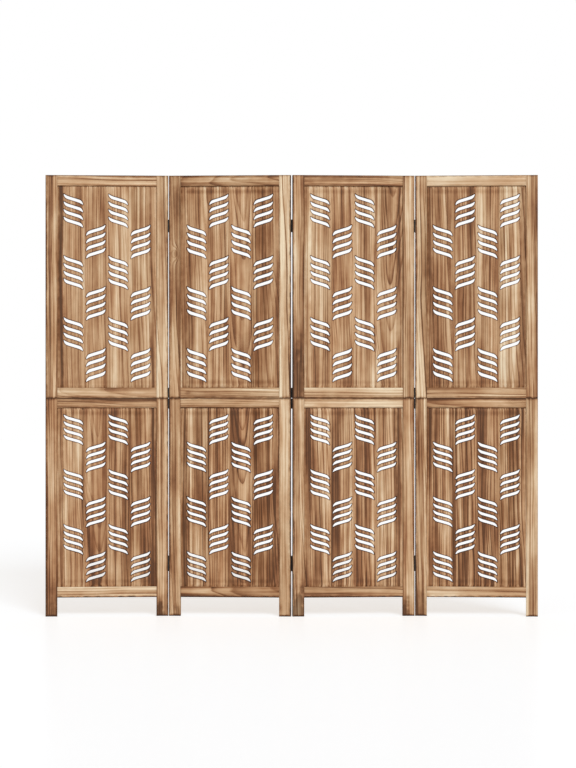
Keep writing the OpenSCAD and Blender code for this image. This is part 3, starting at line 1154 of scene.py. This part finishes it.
class PiercingTree:
    """The Geometry Nodes that repeat one slot's walls over a panel and fill the faces
    between them."""

    INPUTS = (
        ("Columns", "NodeSocketInt"), ("Column Pitch", "NodeSocketFloat"),
        ("Rows", "NodeSocketInt"), ("Row Pitch", "NodeSocketFloat"),
        ("Slots", "NodeSocketInt"), ("Slot Pitch", "NodeSocketFloat"),
        ("Drop", "NodeSocketFloat"), ("Leaf", "NodeSocketInt"),
        ("Field Width", "NodeSocketFloat"), ("Field Height", "NodeSocketFloat"),
        ("Thickness", "NodeSocketFloat"), ("Wood", "NodeSocketMaterial"),
    )

    def __init__(self) -> None:
        """Builds the tree."""
        group, tree, entry = new_geometry_tree("slot_piercing", self.INPUTS)
        self.group = group
        given = {name: Value(tree, entry.outputs[name]) for name, _ in self.INPUTS}
        walls = self.all_walls(tree, entry.outputs["Geometry"], given)
        faces = self.both_faces(tree, walls, given)
        joined = tree.node("GeometryNodeJoinGeometry", {}, {0: [walls, *faces]})
        closed = tree.node("GeometryNodeMergeByDistance", {}, {
            "Geometry": joined.outputs[0], "Distance": TINY})
        end_geometry_tree(tree, closed.outputs[0], entry.outputs["Wood"])

    def all_walls(self, tree: Tree, slot: Socket, given: dict[str, Value]) -> Socket:
        """Repeats the walls of one slot in groups, on every second place of a grid.

        Args:
            tree: the tree.
            slot: the walls of one slot.
            given: the tree's inputs.

        Returns:
            The walls of all slots. Odd columns are mirrored, and odd leaves start
            with a group at the top left.
        """
        pitch, slots = given["Slot Pitch"], given["Slots"]
        line = tree.node("GeometryNodeMeshLine", {}, {
            "Count": slots, "Offset": tree.join(0, pitch, 0),
            "Start Location": tree.join(0, pitch * (slots - 1) * -0.5, 0)})
        group = tree.node("GeometryNodeInstanceOnPoints", {}, {
            "Points": line.outputs[0], "Instance": slot})
        columns, rows = given["Columns"] - 1, given["Rows"] - 1
        width, height = given["Column Pitch"], given["Row Pitch"]
        grid = tree.node("GeometryNodeMeshGrid", {}, {
            "Size X": width * columns, "Size Y": height * rows,
            "Vertices X": given["Columns"], "Vertices Y": given["Rows"]})
        x, y, _ = tree.split(tree.node("GeometryNodeInputPosition", {}, {}).outputs[0])
        column = (x / width + columns * 0.5).math("ROUND")
        row = (rows * 0.5 - y / height).math("ROUND")
        pierced = (column + row + given["Leaf"]) % 2
        flip = 1 - (column % 2) * 2
        groups = tree.node("GeometryNodeInstanceOnPoints", {}, {
            "Points": grid.outputs[0], "Selection": pierced > 0.5,
            "Instance": group.outputs[0], "Scale": tree.join(flip, 1, 1)})
        real = tree.node("GeometryNodeRealizeInstances", {}, {0: groups.outputs[0]})
        return tree.node("GeometryNodeTransform", {}, {
            "Geometry": real.outputs[0],
            "Translation": tree.join(0, given["Drop"] * -1, 0)}).outputs[0]

    def both_faces(self, tree: Tree, walls: Socket, given: dict[str, Value]) -> list[Socket]:
        """Fills the panel's flat field between the slots, in front and behind.

        Args:
            tree: the tree.
            walls: the walls of all slots.
            given: the tree's inputs.

        Returns:
            The two faces.
        """
        _, _, height = tree.split(tree.node("GeometryNodeInputPosition", {}, {}).outputs[0])
        neighbours = Value(tree, tree.node(
            "GeometryNodeInputMeshEdgeNeighbors", {}, {}).outputs[0])
        front_rim = (height > 0) * (1 - (neighbours > 1.5))
        rims = tree.node("GeometryNodeMeshToCurve", {}, {"Mesh": walls, "Selection": front_rim})
        field_edge = tree.node("GeometryNodeCurvePrimitiveQuadrilateral", {}, {
            "Width": given["Field Width"], "Height": given["Field Height"]})
        outlines = tree.node("GeometryNodeJoinGeometry", {}, {
            0: [rims.outputs[0], field_edge.outputs[0]]})
        fill = tree.node("GeometryNodeFillCurve", {"mode": "NGONS"}, {0: outlines.outputs[0]})
        faces = []
        for side in (0.5, -0.5):
            faces.append(tree.node("GeometryNodeTransform", {}, {
                "Geometry": fill.outputs[0],
                "Translation": tree.join(0, 0, given["Thickness"] * side)}).outputs[0])
        return faces

    def pierce(self, panel: SlottedPanel, wood: Material) -> Mesh:
        """Makes a panel's pierced field.

        Args:
            panel: the panel.
            wood: its material.

        Returns:
            The field as a plain mesh, flat on the XY plane.
        """
        pattern = panel.pattern
        width = 2 * (panel.half_width - panel.bevel)
        height = 2 * (panel.half_height - panel.bevel)
        given = {
            "Columns": pattern.columns, "Column Pitch": pattern.column_pitch,
            "Rows": pattern.rows, "Row Pitch": pattern.row_pitch,
            "Slots": pattern.slots, "Slot Pitch": pattern.slot_pitch,
            "Drop": pattern.drop, "Leaf": panel.place.number,
            "Field Width": width, "Field Height": height,
            "Thickness": panel.thickness, "Wood": wood,
        }
        return run_geometry_tree(self.group, self.slot_walls(panel), given)

    def slot_walls(self, panel: SlottedPanel) -> Mesh:
        """The walls of one slot, with rounded rims and a strip of face round them.

        Args:
            panel: the panel.

        Returns:
            The walls as a mesh, round the origin.
        """
        half, rim = panel.thickness / 2, panel.rim
        corner = rim * (1 - math.sqrt(0.5))
        # how dark each ring round the slot is: burnt rim and walls, with painted shade of the
        # walls
        front = [(panel.toast_and_shade, half, 0.0), (panel.burn_and_shade, half, 0.6), (rim, half, 1.0),
                 (corner, half - corner, 1.0), (0.0, half - rim, 1.0)]
        levels = front + [(grow, -height, char_and_shade) for grow, height, char_and_shade in reversed(front)]
        work = bmesh.new()
        layer = work.verts.layers.float.new("slot_char")
        rings = []
        for grow, height, char_and_shade in levels:
            ring = [work.verts.new((x, y, height)) for x, y in panel.pattern.shape.outline(grow)]
            for vert in ring:
                vert[layer] = char_and_shade
            rings.append(ring)
        loft(work, rings)
        return plain_mesh(work, "slot_walls")


def new_geometry_tree(name: str, inputs: Sequence[tuple[str, str]]
                      ) -> tuple[bpy.types.NodeTree, Tree, Node]:
    """Starts a Geometry Nodes tree.

    Args:
        name: the tree's name.
        inputs: the name and socket type of each input after the geometry.

    Returns:
        The tree, its wrapper and its input node.
    """
    group = bpy.data.node_groups.new(name, "GeometryNodeTree")
    group.interface.new_socket("Geometry", in_out="INPUT", socket_type="NodeSocketGeometry")
    group.interface.new_socket("Geometry", in_out="OUTPUT", socket_type="NodeSocketGeometry")
    for given, kind in inputs:
        group.interface.new_socket(given, in_out="INPUT", socket_type=kind)
    tree = Tree(group)
    return group, tree, tree.node("NodeGroupInput", {}, {})


def end_geometry_tree(tree: Tree, geometry: Socket, material: Socket) -> None:
    """Ends a tree in Realize Instances and Set Material.

    Args:
        tree: the tree.
        geometry: what it has made.
        material: the material of that.
    """
    real = tree.node("GeometryNodeRealizeInstances", {}, {0: geometry})
    dressed = tree.node("GeometryNodeSetMaterial", {}, {
        "Geometry": real.outputs[0], "Material": material})
    tree.node("NodeGroupOutput", {}, {0: dressed.outputs[0]})


def run_geometry_tree(group: bpy.types.NodeTree, base: Mesh, given: dict[str, Any]) -> Mesh:
    """Runs a tree on a mesh.

    Args:
        group: the tree.
        base: the mesh that it starts from.
        given: the value of each input, by name.

    Returns:
        The result as a plain mesh. The object that held the modifier is gone.
    """
    holder = in_scene(group.name, base)
    modifier = holder.modifiers.new(group.name, "NODES")
    modifier.node_group = group
    sockets = {item.name: item.identifier for item in group.interface.items_tree
               if item.in_out == "INPUT"}
    for name, setting in given.items():
        modifier[sockets[name]] = setting
    graph = bpy.context.evaluated_depsgraph_get()
    mesh = bpy.data.meshes.new_from_object(
        holder.evaluated_get(graph), preserve_all_data_layers=True, depsgraph=graph)
    holder.modifiers.remove(modifier)
    bpy.data.objects.remove(holder)
    bpy.data.meshes.remove(base)
    return mesh


# ---- hinges ----------------------------------------------------------------------

@dataclass(frozen=True)
class HingeRow:
    """One of the four heights at which every fold has a hinge."""

    middle: float
    height: float
    screws: int


@dataclass
class HingeScrews:
    """The countersunk screws of one leaf's hinge plates."""

    place: LeafPlace
    rows: tuple[HingeRow, ...] = (
        HingeRow(0.215, 0.063, 3), HingeRow(0.868, 0.041, 2),
        HingeRow(0.912, 0.041, 2), HingeRow(1.594, 0.051, 2),
    )
    end: float = 0.008                   # from a plate's end to its outer screws
    head_radius: float = 0.0024
    shank_radius: float = 0.0013
    length: float = 0.012
    point: float = 0.003
    recess_width: float = 0.0006
    recess_depth: float = 0.0007
    recess_taper: float = 0.6            # of the recess's floor to its mouth
    point_taper: float = 0.2             # of the point's radius to the shank's
    sides: int = 16

    def build(self, steel: Material, driving: "ScrewTree") -> bpy.types.Object:
        """Makes the leaf's screws in place of their CAD node.

        Args:
            steel: their material.
            driving: the node tree that sets screws.

        Returns:
            The finished piece.
        """
        node = f"{self.place.body}_hinge_screws"
        mesh = driving.drive(self, steel)
        mesh.transform(self.place.matrix)
        mesh.name = f"{node}_driven"
        return finished_piece(mesh.name, mesh, self.place.body, [node])

    def places(self) -> list[tuple[Vector, float]]:
        """Where the middle of each screw's head lies in the leaf, and its way along X.

        Returns:
            Each screw's place and way, 1 or -1.
        """
        found = []
        for fold in (self.place.number - 1, self.place.number):
            if fold in FOLDS:
                found += self.at_fold(fold)
        LOG.info("%s has %d screws", self.place.body, len(found))
        return found

    def at_fold(self, fold: int) -> list[tuple[Vector, float]]:
        """The screws of the plates at one fold.

        Args:
            fold: the fold's number.

        Returns:
            Each screw's place and way, 1 or -1.
        """
        way = 1.0 if fold < self.place.number else -1.0     # from the leaf's edge inwards
        edge = -way * self.place.sizes.leaf_width / 2
        spec = FOLDS[fold]
        x = edge + way * (spec.seat - spec.plate)
        y = spec.side * (self.place.sizes.depth / 2 - spec.plate_width / 2)
        found = []
        for row in self.rows:
            for i in range(row.screws):
                share = i / (row.screws - 1) - 0.5
                z = row.middle + (row.height - 2 * self.end) * share
                found.append((Vector((x, y, z)), way))
        return found


@dataclass(frozen=True)
class Fold:
    """What differs between the folds."""

    side: int                            # of the leaves that the barrels stand on
    gap: float
    plate: float = 0.0012
    plate_gap: float = 0.0005
    plate_width: float = 0.014

    @property
    def seat(self) -> float:
        """How deep the plates are let into the edges of the leaves."""
        return max(0.0, self.plate + self.plate_gap / 2 - self.gap / 2)


FOLDS = {1: Fold(-1, 0.0018), 2: Fold(1, 0.0038), 3: Fold(-1, 0.0018)}


class ScrewTree:
    """The Geometry Nodes that set a screw on every point, each turned at random."""

    INPUTS = (
        ("Screw", "NodeSocketObject"), ("Seed", "NodeSocketInt"),
        ("Steel", "NodeSocketMaterial"),
    )

    def __init__(self) -> None:
        """Builds the tree."""
        group, tree, entry = new_geometry_tree("screw_driving", self.INPUTS)
        self.group = group
        screw = tree.node("GeometryNodeObjectInfo", {"transform_space": "ORIGINAL"}, {
            "Object": entry.outputs["Screw"]})
        spin = tree.node("FunctionNodeRandomValue", {"data_type": "FLOAT"}, {
            "Max_001": 2 * math.pi, "Seed": entry.outputs["Seed"]})
        way = tree.node("GeometryNodeInputNamedAttribute", {"data_type": "FLOAT"}, {
            "Name": "way"})
        turn = (1 - Value(tree, find_socket(way.outputs, "Attribute"))) * (math.pi / 2)
        rotation = tree.join(Value(tree, find_socket(spin.outputs, "Value_001")), 0, turn)
        placed = tree.node("GeometryNodeInstanceOnPoints", {}, {
            "Points": entry.outputs["Geometry"], "Rotation": rotation,
            "Instance": find_socket(screw.outputs, "Geometry")})
        end_geometry_tree(tree, placed.outputs[0], entry.outputs["Steel"])

    def drive(self, screws: HingeScrews, steel: Material) -> Mesh:
        """Makes all screws of a leaf as one mesh, in the leaf's frame.

        Args:
            screws: the screws.
            steel: their material.

        Returns:
            The mesh.
        """
        points = bmesh.new()
        layer = points.verts.layers.float.new("way")
        for place, way in screws.places():
            points.verts.new(place)[layer] = way
        base = plain_mesh(points, "screw_places")
        unit = in_scene("one_screw", self.one_screw(screws))
        made = run_geometry_tree(self.group, base, {
            "Screw": unit, "Seed": screws.place.number, "Steel": steel})
        shape = unit.data
        bpy.data.objects.remove(unit)
        bpy.data.meshes.remove(shape)
        return made

    def one_screw(self, screws: HingeScrews) -> Mesh:
        """A countersunk screw along +X, with its head's face at the origin and a cross
        pressed into it.

        Args:
            screws: the sizes.

        Returns:
            The mesh, closed.
        """
        head = screws.head_radius - screws.shank_radius
        profile = [(0.0, screws.head_radius), (head, screws.shank_radius),
                   (screws.length - screws.point, screws.shank_radius),
                   (screws.length, screws.shank_radius * screws.point_taper)]
        work = bmesh.new()
        angles = [2 * math.pi * i / screws.sides for i in range(screws.sides)]
        rings = [[work.verts.new((x, radius * math.cos(a), radius * math.sin(a)))
                  for a in angles] for x, radius in profile]
        loft(work, rings)
        work.faces.new(rings[-1])
        self.close_head(work, rings[0], screws)
        bmesh.ops.recalc_face_normals(work, faces=work.faces)
        return plain_mesh(work, "one_screw")

    def close_head(self, work: BMesh, rim: list[BMVert], screws: HingeScrews) -> None:
        """Closes the head's face round a cross-shaped recess.

        Args:
            work: the screw's mesh.
            rim: the vertices round the head.
            screws: the sizes.
        """
        arm = screws.head_radius - screws.recess_width
        half = screws.recess_width / 2
        quarter = [(arm, -half), (arm, half), (half, half)]
        cross = []
        for turn in range(4):
            for y, z in quarter:
                for _ in range(turn):
                    y, z = -z, y
                cross.append((y, z))
        mouth = [work.verts.new((0.0, y, z)) for y, z in cross]
        depth, taper = screws.recess_depth, screws.recess_taper
        floor = [work.verts.new((depth, taper * y, taper * z)) for y, z in cross]
        loft(work, [mouth, floor])
        work.faces.new(floor)
        edges = [work.edges.get((a, b)) for ring in (rim, mouth)
                 for a, b in zip(ring, ring[1:] + ring[:1])]
        bmesh.ops.triangle_fill(work, edges=edges, use_beauty=True)


# ---- the screen ------------------------------------------------------------------

@dataclass
class Leaf:
    """One leaf: its eight frame boards, two panels and hinge screws."""

    place: LeafPlace
    frames: dict[str, Figure]
    upper_boards: list[Figure]
    lower_boards: list[Figure]

    def build(self, workshop: "Workshop") -> None:
        """Builds the leaf's pieces.

        Args:
            workshop: the materials and node trees.
        """
        for index, (part, low, high, grain_up) in enumerate(self.board_places()):
            board = FrameBoard(self.place, part, low, high, grain_up, self.frames[part],
                               self.place.number * 10.7 + index * 1.63)
            board.build(workshop.wood)
        sizes = self.place.sizes
        for part, opening, pattern, figures in (
                ("upper_panel", sizes.upper_opening, UPPER_PATTERN, self.upper_boards),
                ("lower_panel", sizes.lower_opening, LOWER_PATTERN, self.lower_boards)):
            seed = self.place.number * 21.3 + opening[0] * 9
            panel = SlottedPanel(self.place, part, opening, pattern, figures, seed)
            panel.build(workshop.wood, workshop.piercing)
        HingeScrews(self.place).build(workshop.steel, workshop.driving)
        dress(f"{self.place.body}_dowels", workshop.dowel)

    def board_places(self) -> list[tuple[str, Pair, Pair, bool]]:
        """Name, lower left corner, upper right corner and grain of each frame board.

        Returns:
            One row for each board.
        """
        sizes = self.place.sizes
        edge, side = sizes.leaf_width / 2, sizes.opening / 2
        lower, upper = sizes.lower_opening, sizes.upper_opening
        return [
            ("upper_left_stile", (-edge, sizes.seam), (-side, sizes.height), True),
            ("upper_right_stile", (side, sizes.seam), (edge, sizes.height), True),
            ("upper_top_rail", (-side, upper[1]), (side, sizes.height), False),
            ("upper_bottom_rail", (-side, sizes.seam), (side, upper[0]), False),
            ("lower_left_stile", (-edge, 0.0), (-side, sizes.seam), True),
            ("lower_right_stile", (side, 0.0), (edge, sizes.seam), True),
            ("lower_top_rail", (-side, lower[1]), (side, sizes.seam), False),
            ("lower_bottom_rail", (-side, sizes.leg), (side, lower[0]), False),
        ]


UPPER_PATTERN = SlotPattern(
    0.126, 0.031, SlotShape(0.012, math.radians(17.2)))
LOWER_PATTERN = SlotPattern(
    0.112, 0.0276, SlotShape(0.0108, math.radians(15.9)))


@dataclass
class Workshop:
    """The materials and node trees that the pieces share."""

    wood: Material = field(default_factory=lambda: ScorchedWood().make())
    dowel: Material = field(default_factory=lambda: TurnedWood().make())
    iron: Material = field(default_factory=lambda: Metal(
        "black_hinge_paint", (20, 17, 15), (84, 74, 66)).make())
    steel: Material = field(default_factory=lambda: Metal(
        "black_screw_steel", (38, 35, 33), (120, 112, 104), 0.18, 0.6, 0.36).make())
    pin_steel: Material = field(default_factory=lambda: Metal(
        "dark_pin_steel", (58, 54, 50), (140, 132, 124), 0.3, 0.8, 0.34).make())
    piercing: PiercingTree = field(default_factory=PiercingTree)
    driving: ScrewTree = field(default_factory=ScrewTree)


def dress(node: str, material: Material) -> None:
    """Gives a CAD node its material.

    Args:
        node: the CAD node.
        material: what it wears.
    """
    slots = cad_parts[node].material_slots
    if not slots:
        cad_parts[node].data.materials.append(material)
    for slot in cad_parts[node].material_slots:
        slot.material = material
    LOG.info("%s wears %s", node, material.name)


# Char along a board's low or left side and the other, and at its ends, in part painted
# shade: at the seam where the two frames meet, along the top of each opening under its
# rail, along the lower edges of the bottom rails and the feet, and along the leaves' edges
# at the folds. A stile's outer side has the darkening of its leaf's edge instead.
STILE_SIDES: Pair = (0.25, 0.25)
FRAME_CHAR_AND_SHADE: dict[str, tuple[Pair, Pair]] = {
    "upper_left_stile": (STILE_SIDES, (0.8, 0.5)),
    "upper_right_stile": (STILE_SIDES, (0.8, 0.5)),
    "upper_top_rail": ((0.4, 0.6), (0.1, 0.1)),
    "upper_bottom_rail": ((0.6, 0.15), (0.1, 0.1)),
    "lower_left_stile": (STILE_SIDES, (1.4, 0.7)),
    "lower_right_stile": (STILE_SIDES, (1.4, 0.7)),
    "lower_top_rail": ((0.4, 0.6), (0.1, 0.1)),
    "lower_bottom_rail": ((1.3, 0.15), (0.1, 0.1)),
}


def frame_looks(edges: Pair, *figures: Figure) -> dict[str, Figure]:
    """The looks of a leaf's frame boards, with the char and painted shade of their places.

    Args:
        edges: char along the leaf's left and right edges; at the folds it is in part
        painted shade of the gap.
        figures: the upper frame's left stile, right stile, top rail and bottom rail,
            and then the lower frame's.

    Returns:
        The look of each board, by its name.
    """
    looks = {}
    for (part, (sides, ends)), figure in zip(FRAME_CHAR_AND_SHADE.items(), figures, strict=True):
        if part.endswith("left_stile"):
            sides = (edges[0], sides[1])
        elif part.endswith("right_stile"):
            sides = (sides[0], edges[1])
        looks[part] = replace(figure, sides=sides, ends=ends)
    return looks


FRAME_LOOKS: dict[int, dict[str, Figure]] = {
    1: frame_looks(
        (0.7, 0.95),
        Figure(Tone.NUT), Figure(Tone.HONEY, Cut.SLOPED, heartwood=0.109),
        Figure(Tone.HONEY, Cut.SLOPED), Figure(Tone.HONEY, Cut.ARCHED),
        Figure(Tone.BROWN, patch=(0.0, -0.445, 0.07), patch_depth=0.56),
        Figure(Tone.NUT, Cut.SLOPED, patch=(-0.01, -0.425, 0.033), patch_depth=0.8),
        Figure(Tone.TAN, Cut.SLOPED), Figure(Tone.PALE)),
    2: frame_looks(
        (0.8, 0.95),
        Figure(Tone.TAN, Cut.SLOPED, knot=(0.004, 0.136, 0.014),
               patch=(0.012, 0.34, 0.04), patch_depth=0.45),
        Figure(Tone.PALE, Cut.SLOPED, heartwood=0.117),
        Figure(Tone.TAN, Cut.ARCHED, reach=0.02),
        Figure(Tone.PALE, Cut.SLOPED, patch=(0.0, -0.17, 0.012), patch_depth=0.5),
        Figure(Tone.TAN, Cut.SLOPED, patch=(0.012, -0.43, 0.02), patch_depth=0.6),
        Figure(Tone.PALE, patch=(-0.02, -0.41, 0.012), patch_depth=0.5),
        Figure(Tone.TAN), Figure(Tone.BROWN, Cut.ARCHED)),
    3: frame_looks(
        (0.95, 0.4),
        Figure(Tone.NUT, patch=(-0.014, -0.36, 0.09), patch_depth=0.6), Figure(Tone.TAN),
        Figure(Tone.BROWN, reach=0.018), Figure(Tone.PALE),
        Figure(Tone.HONEY, Cut.SLOPED, patch=(0.0, -0.43, 0.07), patch_depth=0.76),
        Figure(Tone.NUT, streaks=0.8, patch=(-0.012, -0.42, 0.03), patch_depth=0.75),
        Figure(Tone.PALE), Figure(Tone.NUT, Cut.SLOPED)),
    4: frame_looks(
        (1.0, 0.15),
        Figure(Tone.HONEY, Cut.SLOPED, heartwood=0.116), Figure(Tone.NUT, Cut.SLOPED),
        Figure(Tone.CREAM, streaks=0.6), Figure(Tone.NUT),
        Figure(Tone.TAN, Cut.SLOPED, patch=(0.0, -0.445, 0.06), patch_depth=0.55),
        Figure(Tone.HONEY, patch=(0.0, -0.447, 0.03), patch_depth=0.1),
        Figure(Tone.BROWN, Cut.ARCHED), Figure(Tone.HONEY, Cut.SLOPED)),
}


def boards(*looks: tuple[Tone, Cut], edges: Pair = (0.7, 0.5),
           ends: Pair = (0.2, 0.25), streaks: float = 1.0) -> list[Figure]:
    """The looks of a panel's boards, from left to right.

    Args:
        looks: the tone and cut of each board.
        edges: darkening along the panel's left and right sides.
        ends: darkening along its bottom and its top.
        streaks: strength of the streaks and lines.

    Returns:
        One figure for each board.
    """
    made = []
    for i, (tone, cut) in enumerate(looks):
        left = edges[0] if i == 0 else 0.0
        right = edges[1] if i == len(looks) - 1 else 0.0
        made.append(Figure(tone, cut, streaks, sides=(left, right), ends=ends, reach=0.014,
                           inset=0.022))
    return made


UPPER_LOOKS: dict[int, list[Figure]] = {
    1: boards((Tone.NUT, Cut.STRAIGHT), (Tone.NUT, Cut.SLOPED), (Tone.TAN, Cut.SLOPED),
              (Tone.TAN, Cut.SLOPED), edges=(1.0, 0.4), ends=(0.1, 0.0), streaks=0.8),
    2: boards((Tone.NUT, Cut.SLOPED), (Tone.NUT, Cut.STRAIGHT), (Tone.BROWN, Cut.ARCHED),
              (Tone.BROWN, Cut.SLOPED), edges=(0.6, 0.3), ends=(0.3, 0.4), streaks=0.95),
    3: boards((Tone.TAN, Cut.STRAIGHT), (Tone.BROWN, Cut.SLOPED), (Tone.NUT, Cut.STRAIGHT),
              (Tone.NUT, Cut.ARCHED), edges=(0.5, 0.6)),
    4: boards((Tone.BROWN, Cut.SLOPED), (Tone.BROWN, Cut.SLOPED), (Tone.NUT, Cut.STRAIGHT),
              (Tone.HONEY, Cut.SLOPED), edges=(0.6, 0.5)),
}
LOWER_LOOKS: dict[int, list[Figure]] = {
    1: boards((Tone.NUT, Cut.SLOPED), (Tone.SMOKED, Cut.ARCHED), (Tone.BROWN, Cut.STRAIGHT),
              (Tone.DARK, Cut.SLOPED), edges=(0.5, 0.5)),
    2: boards((Tone.NUT, Cut.STRAIGHT), (Tone.SMOKED, Cut.STRAIGHT), (Tone.SMOKED, Cut.ARCHED),
              (Tone.DARK, Cut.SLOPED), edges=(0.5, 0.5), streaks=1.25),
    3: boards((Tone.BROWN, Cut.SLOPED), (Tone.BROWN, Cut.STRAIGHT), (Tone.DARK, Cut.SLOPED),
              (Tone.NUT, Cut.STRAIGHT), edges=(0.5, 0.5), streaks=1.25),
    4: boards((Tone.BROWN, Cut.STRAIGHT), (Tone.DARK, Cut.SLOPED), (Tone.DARK, Cut.SLOPED),
              (Tone.BROWN, Cut.SLOPED), edges=(0.5, 0.5), streaks=1.3),
}


# ---- the stage -------------------------------------------------------------------

@dataclass
class Stage:
    """A pale floor, a white backdrop and soft light."""

    floor_size: float = 60.0
    floor_bounce: float = 0.75           # what the floor gives back to the screen
    floor_tint: Triple = (0.54, 0.65, 0.76)    # what the camera sees: cool, so that with the warm glow the floor's shade is painted warm
    floor_glow_and_warm_shade: Triple = (0.65, 0.582, 0.515)  # and the glow that is added: white where lit, painted warm light in the shade
    sheen: float = 0.05                  # share of the floor's light that is a reflection
    blur: float = 0.22                   # roughness of that reflection
    sky: float = 0.4                     # what the sky gives the screen
    key: float = 1.95                    # and the lamp
    key_height: float = math.radians(26)
    key_side: float = math.radians(14)
    key_softness: float = math.radians(24)

    def build(self) -> None:
        """Builds the floor, the world and the lamp."""
        self.floor()
        self.world()
        self.lamp()
        LOG.info("stage built")

    def seen(self, tree: Tree) -> Value:
        """1 for what the camera sees, also in a mirror or through glass, else 0.

        Args:
            tree: a material's or the world's tree.

        Returns:
            The number.
        """
        rays = tree.node("ShaderNodeLightPath", {}, {})
        return (Value(tree, rays.outputs["Is Camera Ray"])
                + Value(tree, rays.outputs["Is Glossy Ray"])
                + Value(tree, rays.outputs["Is Transmission Ray"])).math("MINIMUM", 1.0)

    def floor(self) -> None:
        """A large flat floor that shows a trace of what stands on it."""
        half = self.floor_size / 2
        mesh = bpy.data.meshes.new("floor")
        mesh.from_pydata([(-half, -half, 0), (half, -half, 0), (half, half, 0), (-half, half, 0)],
                         [], [(0, 1, 2, 3)])
        material, tree = new_material("pale_floor")
        seen = self.seen(tree)
        tint = mixed(tree, seen, grey(self.floor_bounce), (*self.floor_tint, 1.0))
        matt = tree.node("ShaderNodeBsdfDiffuse", {}, {"Color": tint})
        # a warm glow over a cool tint, seen by the camera only: painted warm light in the floor's
        # shade, standing in for light bounced from the wood
        glow = tree.node("ShaderNodeEmission", {}, {
            "Color": (*self.floor_glow_and_warm_shade, 1.0), "Strength": seen})
        lifted = tree.node("ShaderNodeAddShader", {}, {0: matt.outputs[0], 1: glow.outputs[0]})
        gloss = tree.node("ShaderNodeBsdfAnisotropic", {}, {
            "Color": grey(1), "Roughness": self.blur})
        floor = tree.node("ShaderNodeMixShader", {}, {
            0: self.sheen, 1: lifted.outputs[0], 2: gloss.outputs[0]})
        tree.node("ShaderNodeOutputMaterial", {}, {"Surface": floor.outputs[0]})
        mesh.materials.append(material)
        stage = in_scene("floor", mesh)

    def world(self) -> None:
        """An even sky, which the camera sees as white."""
        world = bpy.data.worlds.new("even_sky")
        world.use_nodes = True
        world.node_tree.nodes.clear()
        tree = Tree(world.node_tree)
        sky = tree.node("ShaderNodeBackground", {}, {
            "Color": grey(1), "Strength": self.sky + self.seen(tree) * (1 - self.sky)})
        tree.node("ShaderNodeOutputWorld", {}, {"Surface": sky.outputs[0]})
        bpy.context.scene.world = world

    def lamp(self) -> None:
        """A broad even light from the front, above and a little to the right."""
        light = bpy.data.lights.new("front_light", "SUN")
        light.energy = self.key
        light.angle = self.key_softness
        lamp = in_scene("front_light", light)
        lamp.rotation_euler = (math.pi / 2 - self.key_height, 0, self.key_side)


@dataclass
class StudioCamera:
    """The photograph's view: level, straight from the front and far away."""

    place: Triple = (-0.015, -10.0, 0.948)
    lens: float = 114.7
    film: float = 36.0                   # over the picture's height

    def build(self) -> None:
        """Places the camera and makes it the scene's."""
        data = bpy.data.cameras.new("studio_camera")
        data.sensor_fit = "VERTICAL"
        data.sensor_height = self.film
        data.lens = self.lens
        camera = in_scene("studio_camera", data)
        camera.location = self.place
        camera.rotation_euler = (math.pi / 2, 0, 0)
        bpy.context.scene.camera = camera
        LOG.info("camera at %s", self.place)


def dress_hinges(workshop: Workshop) -> None:
    """Gives the hinges' plates and pins their materials.

    Args:
        workshop: the materials.
    """
    for fold in FOLDS:
        name = f"hinge_{fold}{fold + 1}"
        dress(f"{name}_left_plates", workshop.iron)
        dress(f"{name}_right_plates", workshop.iron)
        dress(f"{name}_pins", workshop.pin_steel)


def main() -> None:
    """Builds the camera, the screen and the stage."""
    logging.basicConfig(level=logging.INFO, format="%(name)s: %(message)s")
    bpy.context.scene.view_settings.view_transform = "Standard"
    StudioCamera().build()
    sizes = ScreenSizes()
    workshop = Workshop()
    for number in FRAME_LOOKS:
        place = LeafPlace(number, sizes)
        Leaf(place, FRAME_LOOKS[number], UPPER_LOOKS[number], LOWER_LOOKS[number]).build(workshop)
    dress_hinges(workshop)
    Stage().build()


if __name__ == "__main__":
    main()
